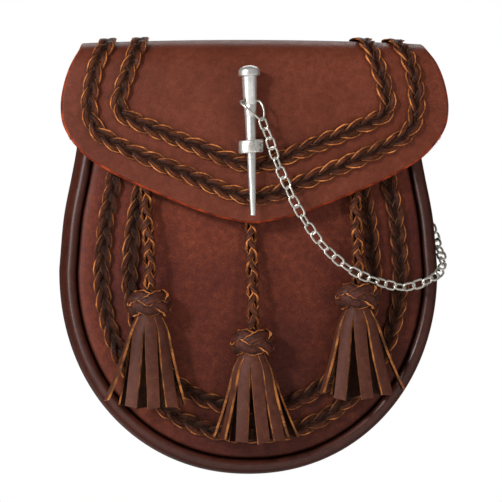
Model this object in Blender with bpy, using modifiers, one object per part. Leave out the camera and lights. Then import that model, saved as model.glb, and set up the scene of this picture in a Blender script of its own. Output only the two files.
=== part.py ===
"""Leather day sporran, closed: a rounded pouch, a pointed flap, plaited lace trim, three
tassels, and a metal peg on a chain that locks the flap.

Metres, +Z up, front towards -Y. The origin is on the outer face of the back, midway
between the two D rings that it hangs by.
"""

import math

import bmesh
import bpy
import numpy as np
from mathutils import Matrix, Vector

MM = 0.001
GAP = 0.3 * MM  # clearance between neighbouring pieces


def mm(rows):
    """A table written in millimetres, as an array in metres."""
    return np.array(rows, float) * MM


# ---------------------------------------------------------------- driving dimensions

# Pouch outline, on the seam between front panel and gusset: a superellipse below the
# widest line, and sides that draw in above it.
SEAM_HALF_WIDTH = 87.0 * MM
WIDEST_Z = -85.0 * MM
SEAM_HEIGHT = 94.5 * MM  # from the widest line down to the lowest point
ROUNDNESS = 2.1
MOUTH_Z = 8.0 * MM
SEAM_STEPS = (4, 10)  # facets of its straight side and of its round quarter
DRAW_IN = mm(  # height above the widest line, inset of each side
    [(0, 0), (25, 2.2), (45, 6.0), (58, 8.4), (75, 10.8), (93, 13.0)]
)

# Front panel: rolls forward out of the seam, then domes gently
SEAM_DEPTH = 30.5 * MM
ROLL_WIDTH = 4.0 * MM
ROLL_DEPTH = 2.5 * MM
DOME_REACH = 70.0 * MM
DOME_DEPTH = 4.0 * MM
FLANGE = 4.0 * MM  # how far the seam allowance turns back into the pouch
PANEL_THICK = 2.0 * MM

# Gusset: grain side from the front seam allowance, round the rolled rim, to the back
GUSSET_THICK = 1.6 * MM
GUSSET_SECTION = mm(  # outset from the seam, depth in front of the back's outer face
    [
        (0.3, 26.5),
        (0.3, 30.4),
        (1.1, 32.8),
        (3.3, 33.8),
        (5.9, 32.0),
        (7.7, 26.0),
        (7.6, 10.0),
        (4.6, 2.8),
        (-4.0, 2.8),
    ]
)

# Back panel
BACK_THICK = 2.5 * MM
BACK_OUTSET = 5.0 * MM
BACK_TOP_Z = 17.5 * MM

# Flap: grain side on its middle line from the hem on the back, over the top, to the tip
FLAP_THICK = 3.0 * MM
FLAP_HALF_WIDTH = 97.6 * MM
FLAP_SHIFT = 1.4 * MM  # how far its widest line lies off centre, to the right
FLAP_ROWS = mm(  # y, z, half width, setback of the sides, droop of the sides
    [
        (3.3, 11.5, 80.8, 0.0, 0.0),
        (3.3, 18.5, 82.3, 0.0, 0.2),
        (1.0, 24.8, 83.8, 0.0, 1.0),
        (-5.0, 28.8, 84.8, 0.3, 2.0),
        (-13.0, 30.2, 85.6, 1.0, 2.5),
        (-21.5, 30.5, 86.1, 2.0, 2.5),
        (-31.2, 29.8, 86.8, 3.0, 2.4),
        (-39.4, 26.7, 88.4, 4.2, 1.8),
        (-45.2, 20.5, 91.6, 5.2, 0.9),
        (-48.0, 12.0, 94.8, 5.8, 0.2),
        (-48.9, 3.0, 97.0, 6.0, 0.0),
        (-49.2, -4.0, 97.6, 6.0, 0.0),
        (-49.3, -11.0, 96.8, 6.0, 0.0),
        (-49.4, -17.0, 94.1, 6.0, 0.0),
        (-49.4, -22.0, 90.4, 6.0, 0.0),
        (-49.4, -27.0, 85.6, 6.0, 0.0),
        (-49.4, -31.5, 79.3, 6.0, 0.0),
        (-49.4, -37.0, 69.4, 6.0, 0.0),
        (-49.3, -43.0, 56.4, 6.0, 0.0),
        (-49.0, -48.5, 43.3, 6.0, 0.0),
        (-48.5, -53.5, 31.0, 6.0, 0.0),
        (-48.0, -57.4, 19.0, 6.0, 0.0),
        (-47.7, -60.3, 4.3, 6.0, 0.0),
    ]
)
CREST_ROW = 5  # the row of FLAP_ROWS on top of the fold

# Flat plaits
PLAIT_WIDTH = 8.6 * MM
PLAIT_TOP_WIDTH = 6.4 * MM
PLAIT_THICK = 2.2 * MM
FLAP_PLAIT_END_Z = 16.0 * MM  # where both flap plaits end on the back
OUTER_FLAP_PLAIT = mm(  # x, z on the flap's front, right half
    [
        (73.4, 27.6),
        (78.4, 18.0),
        (80.9, 7.5),
        (81.8, -1.0),
        (81.2, -8.5),
        (77.8, -15.6),
        (72.0, -20.2),
        (62.5, -24.9),
        (52.0, -29.5),
        (41.0, -34.1),
        (27.5, -39.8),
        (15.0, -44.9),
        (6.0, -47.6),
        (0.0, -48.3),
    ]
)
INNER_FLAP_PLAIT = mm(  # x, z on the flap's front, right half
    [
        (57.2, 27.6),
        (61.4, 18.0),
        (64.6, 9.0),
        (66.8, 1.0),
        (67.0, -4.6),
        (62.4, -9.2),
        (51.3, -14.1),
        (38.0, -19.6),
        (26.0, -24.4),
        (13.0, -29.6),
        (5.5, -32.0),
        (0.0, -32.7),
    ]
)
FLAP_PLAIT_DRAW_IN = 3.0 * MM  # how much nearer the middle a flap plait is on the back
FLAP_PLAIT_SKEW = 1.3 * MM  # how far the plaits shift to the right on top of the fold
OUTER_FRONT_PLAIT_INSET = 12.0 * MM  # from the seam
INNER_FRONT_PLAIT_INSET = 25.8 * MM
FRONT_PLAIT_TOP_Z = -27.0 * MM

# Tassels
CORD_RADIUS = 3.0 * MM
KNOT_RADIUS = 10.4 * MM
KNOT_FLATNESS = 0.82  # front to back, as a share of the width
KNOT_HEIGHT = 12.0 * MM
TASSELS = {  # x, z and clearance from the front panel, of the cord's top and of the knot
    "left": mm([(-53.8, -36.0, 2.8), (-51.8, -101.5, 1.4)]),
    "middle": mm([(-0.8, -52.0, 0.5), (-0.2, -121.0, 0.8)]),
    "right": mm([(51.5, -36.0, 2.8), (52.5, -98.0, 1.4)]),
}
HEAD_HEIGHT = 3.6 * MM
HEAD_RADIUS = 9.2 * MM
STRIP_WIDTH = 6.0 * MM
STRIP_ROOT_WIDTH = 3.7 * MM
STRIP_THICK = 1.2 * MM
STRIP_ROOTS = 1.6 * MM  # how far a strip runs up into the head
STRIPS = {  # bearing on the head, turn, then in mm tip x, tip y, length from the head's top
    "left": [
        (-88, 8, -21.5, 1.0, 42.2),
        (-44, 24, -9.6, -3.4, 45.4),
        (0, 0, 1.8, -5.2, 46.2),
        (44, -26, 11.0, -3.8, 45.6),
        (88, 4, 17.6, 0.5, 44.2),
        (134, 0, 9.5, 4.2, 44.5),
        (180, 0, -3.6, 4.6, 46.0),
        (-134, 0, -13.0, 4.2, 44.5),
    ],
    "middle": [
        (-106, 8, -19.0, 2.6, 41.0),
        (-70, 0, -15.4, -1.2, 42.0),
        (-33, 20, -6.0, -4.6, 43.5),
        (8, -2, 5.2, -5.4, 44.0),
        (47, -26, 13.2, -4.2, 43.0),
        (84, 0, 17.8, -0.6, 41.0),
        (121, -6, 21.4, 3.0, 40.5),
        (164, 0, 4.0, 5.0, 43.0),
        (-150, 0, -9.0, 5.0, 43.0),
    ],
    "right": [
        (-88, 8, -17.8, 1.0, 42.0),
        (-44, 24, -9.4, -3.6, 45.2),
        (0, 4, 4.4, -5.2, 44.9),
        (44, -20, 14.6, -3.8, 43.2),
        (88, 6, 23.0, 0.8, 40.4),
        (134, 0, 10.0, 4.2, 42.5),
        (180, 0, -2.2, 4.6, 44.0),
        (-134, 0, -11.0, 4.2, 43.0),
    ],
}

# Peg and staple
PEG_Y = -54.9 * MM
PEG_TIP = (-0.8 * MM, -57.8 * MM)  # x, z
PEG_TILT = math.radians(1.56)  # its head leans to the left
PEG_PROFILE = mm(  # radius, height above the tip
    [
        (0.0, 74.8),
        (2.6, 74.6),
        (4.6, 73.6),
        (5.4, 71.9),
        (5.4, 70.2),
        (4.9, 69.5),
        (3.9, 69.3),
        (3.25, 53.6),
        (2.95, 53.2),
        (2.52, 38.0),
        (2.28, 30.8),
        (1.35, 0.5),
        (1.0, 0.0),
        (0.0, 0.0),
    ]
)
PEG_HOLE_HEIGHT = 57.2 * MM  # of the cross hole above the tip
PEG_HOLE_RADIUS = 1.5 * MM
STAPLE_HEIGHT_ON_PEG = 34.4 * MM  # above the peg's tip
STAPLE_HALF_SIZE = mm([6.3, 5.3, 3.6])
STAPLE_BORE_RADIUS = 2.9 * MM
POST_HALF_WIDTH = 3.0 * MM
POST_HALF_HEIGHT = 2.4 * MM
POST_BUTTON_RADIUS = 6.5 * MM
POST_BUTTON_THICK = 1.5 * MM

# Chain
WIRE_RADIUS = 0.6 * MM
WIRE_SIDES = 5
LINK_OUTLINE = mm(  # half of the wire's middle line, along and across the link
    [(3.05, -1.0), (3.05, 1.0), (1.15, 1.9), (-1.15, 1.9)]
)
LINK_PITCH = 5.25 * MM
TWIST_PER_LINK = math.radians(60)
PEG_RING = mm(  # middle line of the open link, from the centre of the peg's cross hole
    [
        (-2.8, 0.0, 0.0),
        (-4.6, -0.6, -0.4),
        (-4.4, -2.4, -1.6),
        (-2.4, -4.1, -3.4),
        (0.0, -4.4, -5.5),
        (2.5, -4.3, -7.6),
        (4.4, -4.2, -9.3),
        (5.7, -4.0, -9.8),
        (6.6, -3.6, -8.5),
        (6.8, -2.6, -5.5),
        (6.1, -1.2, -2.4),
        (4.9, -0.3, -0.5),
        (2.8, 0.0, 0.0),
    ]
)
CHAIN_ROUTE = mm(  # from the open link, down over the flap and front, round the right side
    [
        (3.15, -58.9, -9.9),
        (5.7, -57.8, -16.5),
        (8.2, -56.4, -22.0),
        (9.1, -55.6, -26.0),
        (11.0, -55.0, -31.0),
        (13.0, -54.8, -35.8),
        (15.0, -54.8, -40.5),
        (17.2, -54.8, -45.0),
        (19.0, -54.5, -49.5),
        (21.6, -54.2, -54.0),
        (24.2, -53.8, -58.7),
        (28.0, -53.2, -64.4),
        (32.2, -52.8, -70.3),
        (36.4, -52.5, -75.0),
        (41.6, -52.3, -79.8),
        (47.0, -52.3, -84.0),
        (53.0, -52.0, -87.4),
        (57.4, -50.4, -89.2),
        (62.2, -48.0, -90.8),
        (66.6, -45.8, -92.0),
        (71.5, -43.8, -93.2),
        (75.4, -42.2, -93.8),
        (79.6, -41.0, -93.2),
        (84.0, -40.0, -92.0),
        (88.2, -38.6, -90.4),
        (92.6, -35.6, -88.4),
        (96.0, -30.4, -85.2),
        (97.4, -25.0, -81.6),
        (97.6, -19.6, -78.4),
        (97.2, -14.4, -74.8),
        (96.2, -9.0, -70.6),
        (95.0, -3.8, -65.4),
        (93.6, 0.8, -60.0),
        (91.4, 3.8, -53.4),
        (87.0, 5.0, -43.4),
        (81.6, 5.2, -33.0),
        (76.0, 5.2, -23.8),
    ]
)
END_RING_RADIUS = 3.6 * MM
END_RING_WIRE = 0.65 * MM
END_RING_TURN = math.radians(50)  # leans over towards the back panel

# D rings and their tabs
RING_BAR_X = 59.0 * MM
RING_BAR_Y = 3.2 * MM
RING_WIRE = 1.2 * MM
RING_HALF_HEIGHT = 9.2 * MM
RING_NECK = 2.0 * MM  # straight stretch between the bar and the bow
RING_LEAN = math.radians(12)  # the bow stands away from the back
TAB_START_X = 40.0 * MM
TAB_THICK = 3.0 * MM
TAB_HALF_HEIGHT = 6.5 * MM
TAB_EYE_RADIUS = 1.5 * MM
TAB_NOSE_RADIUS = 2.9 * MM

# ---------------------------------------------------------------- scene and materials


def clear_scene():
    for obj in list(bpy.data.objects):
        bpy.data.objects.remove(obj)


def new_collection(name):
    collection = bpy.data.collections.new(name)
    bpy.context.scene.collection.children.link(collection)
    return collection


def linear(value):
    """A colour channel from 0 to 255 as light."""
    value /= 255
    return value / 12.92 if value <= 0.04045 else ((value + 0.055) / 1.055) ** 2.4


def material(name, colour, roughness, metallic=0.0):
    made = bpy.data.materials.new(name)
    made.use_nodes = True
    shader = made.node_tree.nodes["Principled BSDF"]
    shader.inputs["Base Color"].default_value = (*map(linear, colour), 1)
    shader.inputs["Roughness"].default_value = roughness
    shader.inputs["Metallic"].default_value = metallic
    made.diffuse_color = (*map(linear, colour), 1)
    return made


clear_scene()
PARTS = new_collection("sporran")
CUTTERS = new_collection("cutters")
FLAP_LEATHER = material("flap_leather", (118, 62, 47), 0.5)
FRONT_LEATHER = material("front_leather", (94, 48, 36), 0.42)
RIM_LEATHER = material("rim_leather", (66, 38, 32), 0.35)
LACE_LEATHER = material("lace_leather", (72, 46, 34), 0.5)
STRIP_LEATHER = material("strip_leather", (90, 56, 46), 0.45)
PEG_METAL = material("peg_metal", (222, 221, 218), 0.3, 1.0)
CHAIN_METAL = material("chain_metal", (214, 210, 200), 0.2, 1.0)


def add(name, data, slot):
    obj = bpy.data.objects.new(name, data)
    if slot is not None:
        data.materials.append(slot)
    PARTS.objects.link(obj)
    return obj


def make_cutter(obj):
    for owner in list(obj.users_collection):
        owner.objects.unlink(obj)
    CUTTERS.objects.link(obj)
    obj.hide_render = True
    obj.display_type = "WIRE"
    return obj


def boolean(obj, other, operation):
    made = obj.modifiers.new(other.name, "BOOLEAN")
    made.operation = operation
    made.solver = "EXACT"
    made.object = other


# ---------------------------------------------------------------- lines and surfaces


def curve_through(rows, steps):
    """A smooth line through the rows, with steps points to each stretch between two."""
    rows = np.asarray(rows, float)
    padded = np.vstack([2 * rows[0] - rows[1], rows, 2 * rows[-1] - rows[-2]])
    line = []
    for before, start, end, after in zip(padded, padded[1:], padded[2:], padded[3:]):
        for t in np.arange(steps) / steps:
            line.append(
                start
                + 0.5 * t * (end - before)
                + t * t * (before - 2.5 * start + 2 * end - 0.5 * after)
                + t**3 * 0.5 * (3 * start - before - 3 * end + after)
            )
    return np.array([*line, rows[-1]])


def lengths_along(line):
    steps = np.linalg.norm(np.diff(line, axis=0), axis=1)
    return np.concatenate([[0], np.cumsum(steps)])


def evenly_spaced(line, count):
    """count points at equal steps along a line."""
    along = lengths_along(line)
    wanted = np.linspace(0, along[-1], count)
    return np.column_stack([np.interp(wanted, along, column) for column in line.T])


def seam_outline(side_steps, round_steps):
    """(x, z) points of the seam, from the mouth's left end round the bottom to its right."""
    inset = curve_through(DRAW_IN, 8)
    heights = np.linspace(MOUTH_Z - WIDEST_Z, 0, side_steps, endpoint=False)
    side = np.column_stack(
        [
            SEAM_HALF_WIDTH - np.interp(heights, inset[:, 0], inset[:, 1]),
            WIDEST_Z + heights,
        ]
    )
    turn = np.linspace(0, math.pi / 2, round_steps)
    below = np.column_stack(
        [
            SEAM_HALF_WIDTH * np.abs(np.cos(turn)) ** (2 / ROUNDNESS),
            WIDEST_Z - SEAM_HEIGHT * np.sin(turn) ** (2 / ROUNDNESS),
        ]
    )
    below[-1, 0] = 0
    right = np.vstack([side, below])
    return np.vstack([right * (-1, 1), right[-2::-1]])


def outset(outline, distance):
    """The outline moved outwards by distance; its two ends move straight sideways."""
    along = np.gradient(outline, axis=0)
    out = np.column_stack([along[:, 1], -along[:, 0]])
    out /= np.linalg.norm(out, axis=1)[:, None]
    out[0], out[-1] = (-1, 0), (1, 0)
    return outline + distance * out


SEAM = seam_outline(20, 60)


def seam_distance(x, z):
    """How far the point (x, z) is inside the seam."""
    start, end = SEAM[:-1], SEAM[1:]
    point, run = np.array([x, z]), end - start
    share = ((point - start) * run).sum(1) / (run * run).sum(1)
    nearest = start + np.clip(share, 0, 1)[:, None] * run
    return float(np.linalg.norm(nearest - point, axis=1).min())


def panel_y(x, z):
    """The front panel's outer surface."""
    inside = seam_distance(x, z)
    roll = 1 - min(inside / ROLL_WIDTH, 1)
    dome = 1 - min(inside / DOME_REACH, 1)
    return -(
        SEAM_DEPTH + ROLL_DEPTH * math.sqrt(1 - roll**2) + DOME_DEPTH * (1 - dome**2)
    )


def on_panel(x, z, height):
    """The point that is height above the front panel's outer surface at (x, z)."""
    step = 1.0 * MM
    slope_x = (panel_y(x + step, z) - panel_y(x - step, z)) / (2 * step)
    slope_z = (panel_y(x, z + step) - panel_y(x, z - step)) / (2 * step)
    out = Vector((slope_x, -1, slope_z)).normalized()
    return Vector((x, panel_y(x, z), z)) + height * out


FLAP_LINE = curve_through(FLAP_ROWS, 12)
FLAP_ALONG = lengths_along(FLAP_LINE[:, :2])
CREST = FLAP_ALONG[12 * CREST_ROW]


def flap_surface(x, along):
    """The flap's grain side at x, the leather's length along from its hem on the back."""
    y, z, _, setback, droop = (np.interp(along, FLAP_ALONG, c) for c in FLAP_LINE.T)
    across = (x / FLAP_HALF_WIDTH) ** 2
    return Vector((x, y + setback * across, z - droop * across))


def flap_half_width(along):
    return np.interp(along, FLAP_ALONG, FLAP_LINE[:, 2])


def front_along(z):
    """The length along the flap at which its front comes down to z."""
    front = FLAP_ALONG >= CREST
    return np.interp(-z, -FLAP_LINE[front, 1], FLAP_ALONG[front])


def on_flap(x, along, height):
    """The point that is height above the flap's grain side."""
    step = 1.0 * MM
    sideways = flap_surface(x + step, along) - flap_surface(x - step, along)
    onwards = flap_surface(x, along + step) - flap_surface(x, along - step)
    return flap_surface(x, along) + height * onwards.cross(sideways).normalized()


# ---------------------------------------------------------------- kinds of solid


def finish_mesh(bm, name, slot, smooth=True):
    mesh = bpy.data.meshes.new(name)
    bm.to_mesh(mesh)
    bm.free()
    if smooth:
        mesh.shade_smooth()
        mesh.set_sharp_from_angle(angle=math.radians(40))
    return add(name, mesh, slot)


def leather_sheet(name, rows, thickness, slot):
    """A sheet whose grain side is the grid of points in rows; its thickness is behind."""
    bm = bmesh.new()
    grid = [[bm.verts.new(point) for point in row] for row in rows]
    for upper, lower in zip(grid, grid[1:]):
        for a, b, c, d in zip(upper, lower, lower[1:], upper[1:]):
            bm.faces.new((a, b, c, d))
    obj = finish_mesh(bm, name, slot)
    solid = obj.modifiers.new("thickness", "SOLIDIFY")
    solid.thickness = thickness
    solid.offset = -1
    solid.use_even_offset = True
    return obj


def loft(name, rings, slot, smooth=True):
    """A closed solid through rings of equally many points, capped at both ends."""
    bm = bmesh.new()
    loops = [[bm.verts.new(point) for point in ring] for ring in rings]
    for near, far in zip(loops, loops[1:]):
        for i in range(len(near)):
            bm.faces.new((near[i - 1], near[i], far[i], far[i - 1]))
    bm.faces.new(loops[0])
    bm.faces.new(loops[-1])
    bmesh.ops.recalc_face_normals(bm, faces=bm.faces)
    return finish_mesh(bm, name, slot, smooth)


def turned(name, profile, slot, sides):
    """A solid turned about its own Z axis; the profile runs down its outer side."""
    bm = bmesh.new()
    points = [bm.verts.new((radius, 0, height)) for radius, height in profile]
    for upper, lower in zip(points, points[1:]):
        bm.edges.new((upper, lower))
    obj = finish_mesh(bm, name, slot, smooth=False)
    screw = obj.modifiers.new("turn", "SCREW")
    screw.steps = screw.render_steps = sides
    screw.use_merge_vertices = True
    screw.merge_threshold = 1e-5
    return obj


def tube(name, lines, radius, slot, resolution, closed=False):
    """Round wire or cord along one or more lines, as one curve object."""
    curve = bpy.data.curves.new(name, "CURVE")
    curve.dimensions = "3D"
    curve.bevel_depth = radius
    curve.bevel_resolution = resolution
    curve.use_fill_caps = not closed
    for line in lines:
        spline = curve.splines.new("POLY")
        spline.points.add(len(line) - 1)
        spline.use_cyclic_u = closed
        spline.use_smooth = True
        for point, place in zip(spline.points, line):
            point.co = (*place, 1)
    return add(name, curve, slot)


def as_mesh(obj):
    """The same object as a mesh, which Booleans can take."""
    graph = bpy.context.evaluated_depsgraph_get()
    mesh = bpy.data.meshes.new_from_object(obj.evaluated_get(graph))
    bm = bmesh.new()
    bm.from_mesh(mesh)
    bmesh.ops.remove_doubles(bm, verts=bm.verts, dist=1e-6)
    bmesh.ops.recalc_face_normals(bm, faces=bm.faces)
    bm.to_mesh(mesh)
    bm.free()
    name, place = obj.name, obj.matrix_world.copy()
    bpy.data.objects.remove(obj)
    made = add(name, mesh, None)
    made.matrix_world = place
    return made


def flat_outline(name, outlines, half_thickness, slot):
    """A flat plate in its own XY plane; each outline after the first is a hole in it."""
    curve = bpy.data.curves.new(name, "CURVE")
    curve.dimensions = "2D"
    curve.fill_mode = "BOTH"
    curve.extrude = half_thickness
    for outline in outlines:
        spline = curve.splines.new("POLY")
        spline.points.add(len(outline) - 1)
        spline.use_cyclic_u = True
        for point, (x, y) in zip(spline.points, outline):
            point.co = (x, y, 0, 1)
    return add(name, curve, slot)


def block(name, half_size, location, slot=None):
    bm = bmesh.new()
    bmesh.ops.create_cube(bm, size=2)
    bmesh.ops.scale(bm, vec=half_size, verts=bm.verts)
    obj = finish_mesh(bm, name, slot, smooth=False)
    obj.location = location
    return obj


def drum(name, radius, half_height, location, sides, slot=None, squeeze=1.0):
    """A cylinder about its own Z axis, its Y radius squeezed."""
    bm = bmesh.new()
    bmesh.ops.create_cone(
        bm,
        cap_ends=True,
        segments=sides,
        radius1=radius,
        radius2=radius,
        depth=2 * half_height,
    )
    bmesh.ops.scale(bm, vec=(1, squeeze, 1), verts=bm.verts)
    obj = finish_mesh(bm, name, slot)
    obj.location = location
    return obj


# ---------------------------------------------------------------- pouch


def make_front_panel():
    outline = seam_outline(*SEAM_STEPS)
    rows = []
    for depth in (SEAM_DEPTH - FLANGE, SEAM_DEPTH):
        rows.append([(x, -depth, z) for x, z in outline])
    for inset in (1.2 * MM, ROLL_WIDTH, 26 * MM):
        rows.append([(x, panel_y(x, z), z) for x, z in outset(outline, -inset)])
    middle = np.array([0, MOUTH_Z])
    inner = outset(outline, -26 * MM)
    for share in (0.6, 0.06):
        ring = middle + share * (inner - middle)
        rows.append([(x, panel_y(x, z), z) for x, z in ring])
    return leather_sheet("front_panel", rows[::-1], PANEL_THICK, FRONT_LEATHER)


def make_gusset():
    outline = seam_outline(*SEAM_STEPS)
    rows = []
    for distance, depth in GUSSET_SECTION:
        rows.append([(x, -depth, z) for x, z in outset(outline, distance)])
    return leather_sheet("gusset", rows, GUSSET_THICK, RIM_LEATHER)


def make_back_panel():
    outline = outset(seam_outline(4, 12), BACK_OUTSET)
    corner = outline[-1, 0] - 2 * MM
    outline = [(-corner, BACK_TOP_Z), *outline, (corner, BACK_TOP_Z)]
    obj = flat_outline("back_panel", [outline], BACK_THICK / 2, RIM_LEATHER)
    obj.rotation_euler.x = math.pi / 2
    obj.location.y = -BACK_THICK / 2
    return obj


def make_flap():
    rows = []
    for along in FLAP_ALONG[::12]:
        across = np.linspace(-1, 1, 7) + FLAP_SHIFT / FLAP_HALF_WIDTH
        width = flap_half_width(along)
        rows.append([flap_surface(share * width, along) for share in across])
    return leather_sheet("flap", rows, FLAP_THICK, FLAP_LEATHER)


# ---------------------------------------------------------------- plaits


def make_plait(name, route, place):
    """A flat plait along a route of surface coordinates, set on the surface by place."""
    ahead = np.gradient(route, axis=0)
    side = np.column_stack([-ahead[:, 1], ahead[:, 0]])
    side /= np.linalg.norm(side, axis=1)[:, None]
    half, top = PLAIT_WIDTH / 2, PLAIT_TOP_WIDTH / 2
    section = ((-half, 0), (-top, PLAIT_THICK), (top, PLAIT_THICK), (half, 0))
    rings = []
    for point, out in zip(route, side):
        rings.append([place(*(point + a * out), GAP + h) for a, h in section])
    return loft(name, rings, LACE_LEATHER, smooth=False)


def flap_plait_route(front_half):
    """(x, along) down the left half and up the right, each end carried over the fold."""
    front = np.array([(x, front_along(z)) for x, z in front_half])
    top_x = front_half[0, 0]
    end = np.interp(FLAP_PLAIT_END_Z, FLAP_LINE[:24, 1], FLAP_ALONG[:24])
    back = [(top_x - FLAP_PLAIT_DRAW_IN, end), (top_x - FLAP_PLAIT_DRAW_IN / 2, CREST)]
    line = curve_through(np.vstack([back, front]), 6)
    bends = FLAP_ALONG[::6]
    bends = [end, *bends[(bends > end) & (bends < front[2, 1])]]
    fold = np.column_stack([np.interp(bends, line[:, 1], line[:, 0]), bends])
    right = np.vstack([fold, front[2:]])
    route = np.vstack([right * (-1, 1), right[-2::-1]])
    share = (front_along(0) - route[:, 1]) / (front_along(0) - CREST)
    route[:, 0] += FLAP_PLAIT_SKEW * np.clip(share, 0, 1)
    return route


def front_plait_route(inset):
    route = outset(seam_outline(20, 40), -inset)
    return evenly_spaced(route[route[:, 1] <= FRONT_PLAIT_TOP_Z], 30)


def make_plaits():
    make_plait("flap_braid_outer", flap_plait_route(OUTER_FLAP_PLAIT), on_flap)
    make_plait("flap_braid_inner", flap_plait_route(INNER_FLAP_PLAIT), on_flap)
    make_plait("front_braid_outer", front_plait_route(OUTER_FRONT_PLAIT_INSET), on_panel)
    make_plait("front_braid_inner", front_plait_route(INNER_FRONT_PLAIT_INSET), on_panel)


# ---------------------------------------------------------------- tassels


def knot_centre(side):
    """The middle of a knot, which hangs against the front panel and its plaits."""
    x, z, clearance = TASSELS[side][1]
    return Vector((x, panel_y(x, z) - clearance - KNOT_FLATNESS * KNOT_RADIUS, z))


def cord_line(side):
    """Middle line of a tassel's cord, from under the flap to the top of its knot."""
    x, z, clearance = TASSELS[side][0]
    start = Vector((x, panel_y(x, z) - clearance - CORD_RADIUS, z))
    end = knot_centre(side) + Vector((0, 0, KNOT_HEIGHT / 2 + GAP))
    lead = 0.25 * (start.z - end.z)
    below = start + Vector((0.2 * (end.x - start.x), 0, -lead))
    return curve_through([start, below, end + Vector((0, 0, lead)), end], 2)


def make_knot(side):
    high, wide = KNOT_HEIGHT / 2, KNOT_RADIUS
    profile = [
        (0, high),
        (0.55 * wide, high),
        (0.9 * wide, 0.6 * high),
        (wide, 0),
        (0.9 * wide, -0.6 * high),
        (0.72 * wide, -high),
        (0, -high),
    ]
    obj = turned(f"tassel_knot_{side}", profile, LACE_LEATHER, 12)
    obj.scale.y = KNOT_FLATNESS
    obj.location = knot_centre(side)


def strip_rings(head, bearing, turn, tip_x, tip_y, length):
    """Sections of one strip, from inside the head down to its tip."""
    bearing = math.radians(bearing)
    root = Vector(
        (
            (HEAD_RADIUS - STRIP_THICK) * math.sin(bearing),
            -(HEAD_RADIUS - STRIP_THICK) * KNOT_FLATNESS * math.cos(bearing),
            0,
        )
    )
    tip = Vector((tip_x * MM, tip_y * MM, 0))
    rings = []
    for share in (0, 0.3, 0.65, 1):
        middle = root.lerp(tip, share**1.4)
        middle.z = STRIP_ROOTS - share * (length * MM - HEAD_HEIGHT + STRIP_ROOTS)
        facing = bearing + math.radians(turn) * share
        width = STRIP_ROOT_WIDTH + share * (STRIP_WIDTH - STRIP_ROOT_WIDTH)
        across = Vector((math.cos(facing), math.sin(facing), 0)) * width / 2
        out = Vector((math.sin(facing), -math.cos(facing), 0)) * STRIP_THICK / 2
        rings.append(
            [
                head + middle + a * across + b * out
                for a, b in ((-1, -1), (1, -1), (1, 1), (-1, 1))
            ]
        )
    return rings


def make_tassel(side):
    """Flat strips fused to a short oval head just under the knot."""
    top = knot_centre(side) - Vector((0, 0, KNOT_HEIGHT / 2 + GAP))
    head = drum(
        f"tassel_{side}",
        HEAD_RADIUS,
        HEAD_HEIGHT / 2,
        top - Vector((0, 0, HEAD_HEIGHT / 2)),
        14,
        STRIP_LEATHER,
        KNOT_FLATNESS,
    )
    foot = top - Vector((0, 0, HEAD_HEIGHT))
    for number, row in enumerate(STRIPS[side]):
        strip = loft(f"strip_{side}_{number}", strip_rings(foot, *row), None)
        boolean(head, make_cutter(strip), "UNION")


def make_tassels():
    for side in TASSELS:
        tube(f"tassel_cord_{side}", [cord_line(side)], CORD_RADIUS, LACE_LEATHER, 2)
        make_knot(side)
        make_tassel(side)


# ---------------------------------------------------------------- peg and staple


def peg_point(height):
    """A point on the peg's axis, height above its tip."""
    x, z = PEG_TIP
    return Vector(
        (x - height * math.sin(PEG_TILT), PEG_Y, z + height * math.cos(PEG_TILT))
    )


def make_peg():
    obj = turned("peg", PEG_PROFILE, PEG_METAL, 12)
    obj.location = peg_point(0)
    obj.rotation_euler.y = -PEG_TILT
    hole = drum(
        "peg_hole", PEG_HOLE_RADIUS, 6 * MM, peg_point(PEG_HOLE_HEIGHT), 12
    )
    hole.rotation_euler.y = math.pi / 2
    boolean(obj, make_cutter(hole), "DIFFERENCE")


def make_staple():
    """Collar with a bore for the peg, on a post that a button holds inside the pouch."""
    width, depth, height = STAPLE_HALF_SIZE
    centre = peg_point(STAPLE_HEIGHT_ON_PEG)
    collar = drum("staple", width, height, centre, 16, PEG_METAL, depth / width)
    rounding = collar.modifiers.new("rounding", "BEVEL")
    rounding.width = 1.0 * MM
    rounding.segments = 1
    rounding.limit_method = "ANGLE"
    inside = panel_y(centre.x, centre.z) + PANEL_THICK + GAP
    start = centre.y + 0.7 * depth
    post_centre = (centre.x, (start + inside) / 2, centre.z)
    half_size = (POST_HALF_WIDTH, (inside - start) / 2 + GAP, POST_HALF_HEIGHT)
    post = block("staple_post", half_size, post_centre)
    boolean(collar, make_cutter(post), "UNION")
    button_y = inside + POST_BUTTON_THICK / 2
    button = drum(
        "staple_button",
        POST_BUTTON_RADIUS,
        POST_BUTTON_THICK / 2,
        (centre.x, button_y, centre.z),
        12,
    )
    button.rotation_euler.x = math.pi / 2
    boolean(collar, make_cutter(button), "UNION")
    bore = drum("staple_bore", STAPLE_BORE_RADIUS, 2 * height, centre, 12)
    bore.rotation_euler.y = -PEG_TILT
    boolean(collar, make_cutter(bore), "DIFFERENCE")


def cut_post_holes():
    """The post's way through the flap and the front panel."""
    centre = peg_point(STAPLE_HEIGHT_ON_PEG)
    half_size = (POST_HALF_WIDTH + GAP, 12 * MM, POST_HALF_HEIGHT + GAP)
    slot = block("post_slot", half_size, (centre.x, -42 * MM, centre.z))
    make_cutter(slot)
    for name in ("flap", "front_panel"):
        boolean(bpy.data.objects[name], slot, "DIFFERENCE")


# ---------------------------------------------------------------- rings and chain


def ring_point(side, along, up):
    """A point on a D ring's plane, along outwards from its bar; side is -1 or 1."""
    x = RING_BAR_X + along * math.cos(RING_LEAN)
    return Vector((side * x, RING_BAR_Y + along * math.sin(RING_LEAN), up))


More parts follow.
